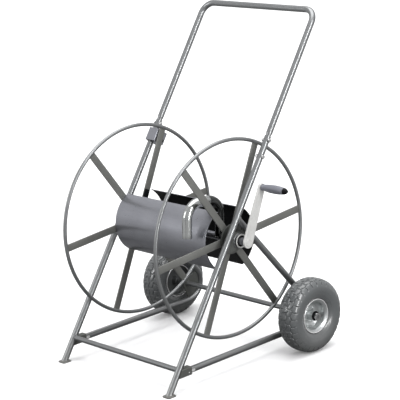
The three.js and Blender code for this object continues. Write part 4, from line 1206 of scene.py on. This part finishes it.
class REELCART_OT_wheels(bpy.types.Operator):
    """Builds the block tread tyres and the dished rims with their bolts, valve and bearing hub"""
    bl_idname = "reelcart.wheels"
    bl_label = "Wheels"
    bl_options = {"REGISTER", "UNDO"}

    def tyre_grid(self, sizes, centre_x):
        """The tyre's section is a closed curve of (x, r) knots, smoothed by sampling. Round the wheel its
        radius drops in the
        grooves: two wavy grooves run round it, and cross grooves part the blocks, those of the shoulders
        between those of the middle."""
        knots = np.array([
            (-29, 60.5), (-31.5, 64), (-35.5, 70), (-39.5, 79), (-42.2, 90), (-42.6, 100), (-40.6, 109),
            (-37.2, 117),
            (-31, 123.6), (-23, 127.6), (-12, 129.6), (0, 130.2), (12, 129.6), (23, 127.6), (31, 123.6),
            (37.2, 117),
            (40.6, 109), (42.6, 100), (42.2, 90), (39.5, 79), (35.5, 70), (31.5, 64), (29, 60.5), (22, 62),
            (31, 76),
            (35, 92), (27, 113), (0, 118), (-27, 113), (-35, 92), (-31, 76), (-22, 62)], float) * 1e-3
        knots[:, 1] = np.minimum(knots[:, 1], 0.1300)
        closed = np.concatenate([knots, knots[:1]])
        run = np.concatenate([[0], np.cumsum(np.linalg.norm(np.diff(closed, axis=0), axis=1))])
        outside_end = run[22]
        s = np.concatenate([np.linspace(0, outside_end, 100), np.linspace(outside_end, run[-1], 20)[1:-1]])
        profile = np.column_stack([np.interp(s, run, closed[:, 0]), np.interp(s, run, closed[:, 1])])
        # Sampling straight between knots leaves corners, which a short running mean takes off.
        kernel = np.array([1, 2, 3, 2, 1]) / 9
        padded = np.concatenate([profile[-2:], profile, profile[:2]])
        profile = np.column_stack([np.convolve(padded[:, k], kernel, "valid") for k in (0, 1)])
        columns = 600
        t = round_angles(columns)[None]
        x, r = profile[:, :1], profile[:, 1:]
        pitch = TURN / sizes.tread_blocks
        wave = 0.0022 * np.sin(t / pitch * TURN)
        outer = (s <= outside_end)[:, None] & (r > 0.104)
        lane = np.minimum(np.abs(x - 0.0095 - wave), np.abs(x + 0.0095 - wave))
        edge_lane = np.minimum(np.abs(x - 0.0275 - wave), np.abs(x + 0.0275 - wave))
        lane_cut = 1 - smooth_step(np.minimum(lane, edge_lane), 0.0010, 0.0024)
        stagger = np.where(np.abs(x) < 0.0095, 0.0, np.where(np.abs(x) < 0.0275, 0.5, 0.0))
        phase = (t / pitch + stagger + 0.18 * np.sign(x) * np.abs(x) / 0.03) % 1.0
        cross = np.abs(phase - 0.5) * pitch * 0.13
        cross_cut = 1 - smooth_step(cross, 0.0008, 0.0022)
        fade = smooth_step(r, 0.106, 0.114)
        cut = np.maximum(lane_cut, cross_cut) * fade
        depth = sizes.tread_depth * cut * outer
        away = np.column_stack([profile[:, 0] * 0.9, profile[:, 1] - 0.098])
        away /= np.linalg.norm(away, axis=1, keepdims=True)
        x = x - depth * away[:, :1]
        r = r - depth * away[:, 1:]
        # Two fine moulded lines run round each sidewall.
        line = np.exp(-((r - 0.076) / 0.0008) ** 2) + np.exp(-((r - 0.104) / 0.0008) ** 2)
        x = x + np.sign(x) * 0.0006 * line * (s <= outside_end)[:, None]
        return np.stack([centre_x + x, AXLE_Y + r * np.cos(t), AXLE_Z + r * np.sin(t)], -1)

    def execute(self, context):
        sizes = context.scene.reel_cart_sizes
        for word, side in SIDES:
            middle = centre(f"{word}_rim").x
            place = (middle, AXLE_Y, AXLE_Z)
            body = f"{word}_wheel"
            piece(f"{word}_tyre_tread", [(self.tyre_grid(sizes, middle), True)], FINISHES["tyre"], body,
                  (f"{word}_tyre",))

            outboard = np.array([
                (32, 9.6), (32, 15.2), (31.2, 16.2), (0.5, 16.5), (-2.2, 18.0), (-3.6, 21), (-4.3, 28),
                (-3.6, 33),
                (-0.6, 38.5), (4.6, 43.5), (12, 46.6), (19.5, 48.6), (23.8, 50.6), (26.8, 54), (29.0, 57.4),
                (30.4, 59.2),
                (30.9, 60.4), (30.2, 61.2), (28.8, 60.9), (26.8, 58.6), (22, 54.8), (10, 51.4)]) * 1e-3
            inboard = np.array([
                (-10, 51.4), (-22, 54.8), (-26.8, 58.6), (-28.8, 60.9), (-30.2, 61.2), (-30.9, 60.4),
                (-30.4, 59.2),
                (-27.0, 54.6), (-23.0, 51.6), (-14, 48.2), (-10.4, 44), (-9.0, 36), (-8.8, 24), (-9.4, 18.0),
                (-11.5, 16.5),
                (-31.2, 16.2), (-32, 15.2), (-32, 9.6)]) * 1e-3
            knots = np.concatenate([outboard, inboard]) * [side, 1]
            fine = np.linspace(0, 1, 170)
            t = np.linspace(0, 1, len(knots))
            profile = np.column_stack([np.interp(fine, t, knots[:, 0]), np.interp(fine, t, knots[:, 1])])
            rim = turned_about_x(profile, place, 120)
            shells = [(rim, True)]
            for k in range(4):
                a = k * pi / 2 + 0.6
                spot = (middle, AXLE_Y + 0.0265 * cos(a), AXLE_Z + 0.0265 * sin(a))
                x0, x1 = sorted((side * -0.0044, side * 0.0004))
                shells.append((hex_rows(RIM_BOLT_FLATS, x0, x1, spot, a), False))
            t = round_angles(140)
            around = np.column_stack([np.zeros(140), np.cos(t), np.sin(t)])
            tangents = np.column_stack([np.zeros(140), -np.sin(t), np.cos(t)])
            # Painted highlight: the rolled edge of each rim takes the brighter lip finish for its glint.
            lips = [swept(np.array([middle + s * 0.0298, AXLE_Y, AXLE_Z]) + 0.0592 * around, tangents,
                          circle(0.0019, 12), (1, 0, 0)) for s in (-1, 1)]
            piece(f"{word}_rim_edge_highlight", [(lip, True) for lip in lips], FINISHES["lip"], body)
            # The valve stands out of the dish, a quarter of the way round.
            a = -0.35 if side > 0 else pi + 0.35
            root = np.array([middle - side * 0.001, AXLE_Y + 0.039 * cos(a), AXLE_Z + 0.039 * sin(a)])
            lean = np.array([side * 1.0, -0.35 * cos(a), -0.35 * sin(a)])
            stem = turned_about_x(np.array([(0, 4.6), (3, 4.4), (5, 3.6), (16, 3.2), (16.5, 3.9), (23.5, 3.9),
                                            (24.5, 3.0)])
                                  * 1e-3, (0, 0, 0), 24)
            valve = along(stem, root, lean)
            # Faces on the dish's inboard side take the darker rim_back colour.
            back = lambda m: ((m[:, 0] - middle)
                              * side < -0.0088) & (np.hypot(m[:, 1] - AXLE_Y, m[:, 2] - AXLE_Z) < 0.0595)
            piece(f"{word}_rim_dish", shells, FINISHES["rim"], body, (f"{word}_rim",),
                  (FINISHES["rim_back"], back))
            piece(f"{word}_valve", [(valve, False)], FINISHES["black"], body)
            dust_cap = turned_about_x([(side * 0.0322, 0.0094), (side * 0.0322, 0.0150),
                                       (side * 0.0314, 0.0162),
                                       (side * 0.0284, 0.0169), (side * 0.0264, 0.0169),
                                       (side * 0.0264, 0.0165),
                                       (side * 0.0310, 0.0094)], place, 48)
            piece(f"{word}_hub_seal", [(dust_cap, True)], FINISHES["black"], body)
        return {"FINISHED"}


CAMERA_FROM_AXIS = (4.0465, -3.5506, 1.4947)
CAMERA_RIGHT = (0.68039, 0.72929, -0.07210)
CAMERA_UP = (-0.13666, 0.22291, 0.96521)
CAMERA_LENS = 144.9                   # millimetres, on a sensor of SENSOR_WIDTH
SENSOR_WIDTH = 36.0
CAMERA_REACH = 60.0                   # metres to the far clipping plane
FLOOR_HALF = 30.0
# The floor that the metal mirrors is grey and darkest under the cart. This is painted shade, which the camera
# never sees.
MIRRORED_REACH = (0.3, 2.0)           # metres from the origin between which the mirrored floor brightens
MIRRORED_SHADE = (0.11, 0.30)
FADE_REACH = (1.6, 4.5)               # metres from the origin between which the floor starts to glow
FADE_GLOW = (0.03, 0.55)
GLOW_IN_MIRRORS = 0.6                 # share of the glow that the metal sees
BACKDROP_TOP = 0.55                   # height on the backdrop's unit sphere where its upper tone is reached
BACKDROP_LOW = (0.64, 0.64, 0.655, 1.0)
BACKDROP_HIGH = (0.80, 0.80, 0.81, 1.0)
LIGHT_TARGET = (0.0, 0.0, 0.45)
SOFT_LIGHTS = (
    # name, place, width and height in metres, power in watts
    ("key", (3.6, -0.12, 1.7), (0.40, 3.4), 84),
    ("fill", (-2.2, -4.2, 2.4), (1.2, 2.2), 60),
    ("overhead", (0.0, 0.5, 5.0), (5.0, 5.0), 230),
)


def soft_light(name, place, target, size, power):
    lamp = bpy.data.lights.new(name, "AREA")
    lamp.shape = "RECTANGLE"
    lamp.size, lamp.size_y = size
    lamp.energy = power
    thing = bpy.data.objects.new(name, lamp)
    thing.location = place
    thing.rotation_euler = (Vector(target) - Vector(place)).to_track_quat("-Z", "Y").to_euler()
    bpy.context.scene.collection.objects.link(thing)


class REELCART_OT_stage(bpy.types.Operator):
    """Builds the floor, the soft lights and the camera"""
    bl_idname = "reelcart.stage"
    bl_label = "Stage"
    bl_options = {"REGISTER", "UNDO"}

    def execute(self, context):
        scene = context.scene
        mesh = bpy.data.meshes.new("floor")
        corners = [(x * FLOOR_HALF, y * FLOOR_HALF, FLOOR_Z) for x, y in ((-1, -1), (1, -1), (1, 1), (-1, 1))]
        mesh.from_pydata(corners, [], [(0, 1, 2, 3)])
        floor = bpy.data.objects.new("floor", mesh)
        scene.collection.objects.link(floor)
        paper = bpy.data.materials.new("Pale floor")
        paper.use_nodes = True
        tree = paper.node_tree
        shader = tree.nodes["Principled BSDF"]
        shader.inputs["Roughness"].default_value = 0.9
        shader.inputs["Specular IOR Level"].default_value = 0.1
        # What the eye sees is white paper; what the metal mirrors is painted shade: a grey sweep, darkest
        # under the cart.
        where = tree.nodes.new("ShaderNodeTexCoord").outputs["Object"]
        distance = add_node(tree, "ShaderNodeVectorMath", {0: where}, operation="LENGTH").outputs["Value"]
        seen = tree.nodes.new("ShaderNodeLightPath").outputs["Is Camera Ray"]
        mix = tree.nodes.new("ShaderNodeMix")
        mix.data_type = "RGBA"
        mix.inputs["B"].default_value = (*scene.reel_cart_colours.floor, 1.0)
        tree.links.new(seen, mix.inputs["Factor"])
        tree.links.new(mix.outputs["Result"], shader.inputs["Base Color"])
        mirrored = add_node(tree, "ShaderNodeMapRange", {"Value": distance}, From_Min=MIRRORED_REACH[0],
                            From_Max=MIRRORED_REACH[1], To_Min=MIRRORED_SHADE[0], To_Max=MIRRORED_SHADE[1])
        tree.links.new(mirrored.outputs["Result"], mix.inputs["A"])
        # The far floor fades into the white backdrop, and the metal mirrors some of that.
        fade = add_node(tree, "ShaderNodeMapRange", {"Value": distance}, From_Min=FADE_REACH[0],
                        From_Max=FADE_REACH[1], To_Min=FADE_GLOW[0], To_Max=FADE_GLOW[1])
        shader.inputs["Emission Color"].default_value = (1.0, 1.0, 1.0, 1.0)
        share = math_node(tree, "ADD", math_node(tree, "MULTIPLY", seen, 1 - GLOW_IN_MIRRORS),
                          GLOW_IN_MIRRORS)
        tree.links.new(math_node(tree, "MULTIPLY", fade.outputs["Result"], share),
                       shader.inputs["Emission Strength"])
        mesh.materials.append(paper)

        world = bpy.data.worlds.new("Studio")
        scene.world = world
        world.use_nodes = True
        tree = world.node_tree
        back = tree.nodes["Background"]
        where = tree.nodes.new("ShaderNodeTexCoord").outputs["Generated"]
        parts = add_node(tree, "ShaderNodeSeparateXYZ", {"Vector": where})
        ramp = tree.nodes.new("ShaderNodeValToRGB")
        low, high = ramp.color_ramp.elements
        low.position, high.position = 0.0, BACKDROP_TOP
        low.color, high.color = BACKDROP_LOW, BACKDROP_HIGH
        tree.links.new(parts.outputs["Z"], ramp.inputs["Fac"])
        mix = tree.nodes.new("ShaderNodeMix")
        mix.data_type = "RGBA"
        mix.inputs["B"].default_value = (1.0, 1.0, 1.0, 1.0)
        tree.links.new(tree.nodes.new("ShaderNodeLightPath").outputs["Is Camera Ray"], mix.inputs["Factor"])
        tree.links.new(ramp.outputs["Color"], mix.inputs["A"])
        tree.links.new(mix.outputs["Result"], back.inputs["Color"])
        back.inputs["Strength"].default_value = 1.0

        for name, place, size, power in SOFT_LIGHTS:
            soft_light(name, place, LIGHT_TARGET, size, power)

        lens = bpy.data.cameras.new("camera")
        lens.lens, lens.sensor_width = CAMERA_LENS, SENSOR_WIDTH
        lens.clip_end = CAMERA_REACH
        lens.dof.use_dof = False
        camera = bpy.data.objects.new("camera", lens)
        right, up = Vector(CAMERA_RIGHT).normalized(), Vector(CAMERA_UP).normalized()
        back_axis = right.cross(up)
        turn = Matrix((right, up, back_axis)).transposed().to_4x4()
        turn.translation = Vector((MIDDLE_X, AXIS_Y, AXIS_Z)) + Vector(CAMERA_FROM_AXIS)
        camera.matrix_world = turn
        scene.collection.objects.link(camera)
        scene.camera = camera
        scene.view_settings.view_transform = "Standard"
        return {"FINISHED"}


class REELCART_PT_panel(bpy.types.Panel):
    """Lists the operators and the sizes and colours they read"""
    bl_label = "Hose Reel Cart"
    bl_idname = "REELCART_PT_panel"
    bl_space_type = "VIEW_3D"
    bl_region_type = "UI"
    bl_category = "Reel Cart"

    def draw(self, context):
        for operator in OPERATORS:
            self.layout.operator(operator.bl_idname)
        for group in (context.scene.reel_cart_sizes, context.scene.reel_cart_colours):
            box = self.layout.box()
            for name in group.__annotations__:
                box.prop(group, name)


OPERATORS = (
    REELCART_OT_stage, REELCART_OT_frame_tubes, REELCART_OT_handle, REELCART_OT_brackets,
    REELCART_OT_fasteners,
    REELCART_OT_flanges, REELCART_OT_drum, REELCART_OT_goose_neck, REELCART_OT_crank, REELCART_OT_lock,
    REELCART_OT_inlet, REELCART_OT_wheels,
)
CLASSES = (ReelCartSizes, ReelCartColours) + OPERATORS + (REELCART_PT_panel,)


def register():
    for item in CLASSES:
        bpy.utils.register_class(item)
    bpy.types.Scene.reel_cart_sizes = PointerProperty(type=ReelCartSizes)
    bpy.types.Scene.reel_cart_colours = PointerProperty(type=ReelCartColours)


def unregister():
    del bpy.types.Scene.reel_cart_sizes
    del bpy.types.Scene.reel_cart_colours
    for item in reversed(CLASSES):
        bpy.utils.unregister_class(item)


def main():
    register()
    make_finishes(bpy.context.scene.reel_cart_colours)
    for operator in OPERATORS:
        module, name = operator.bl_idname.split(".")
        getattr(getattr(bpy.ops, module), name)()


if __name__ == "__main__":
    main()
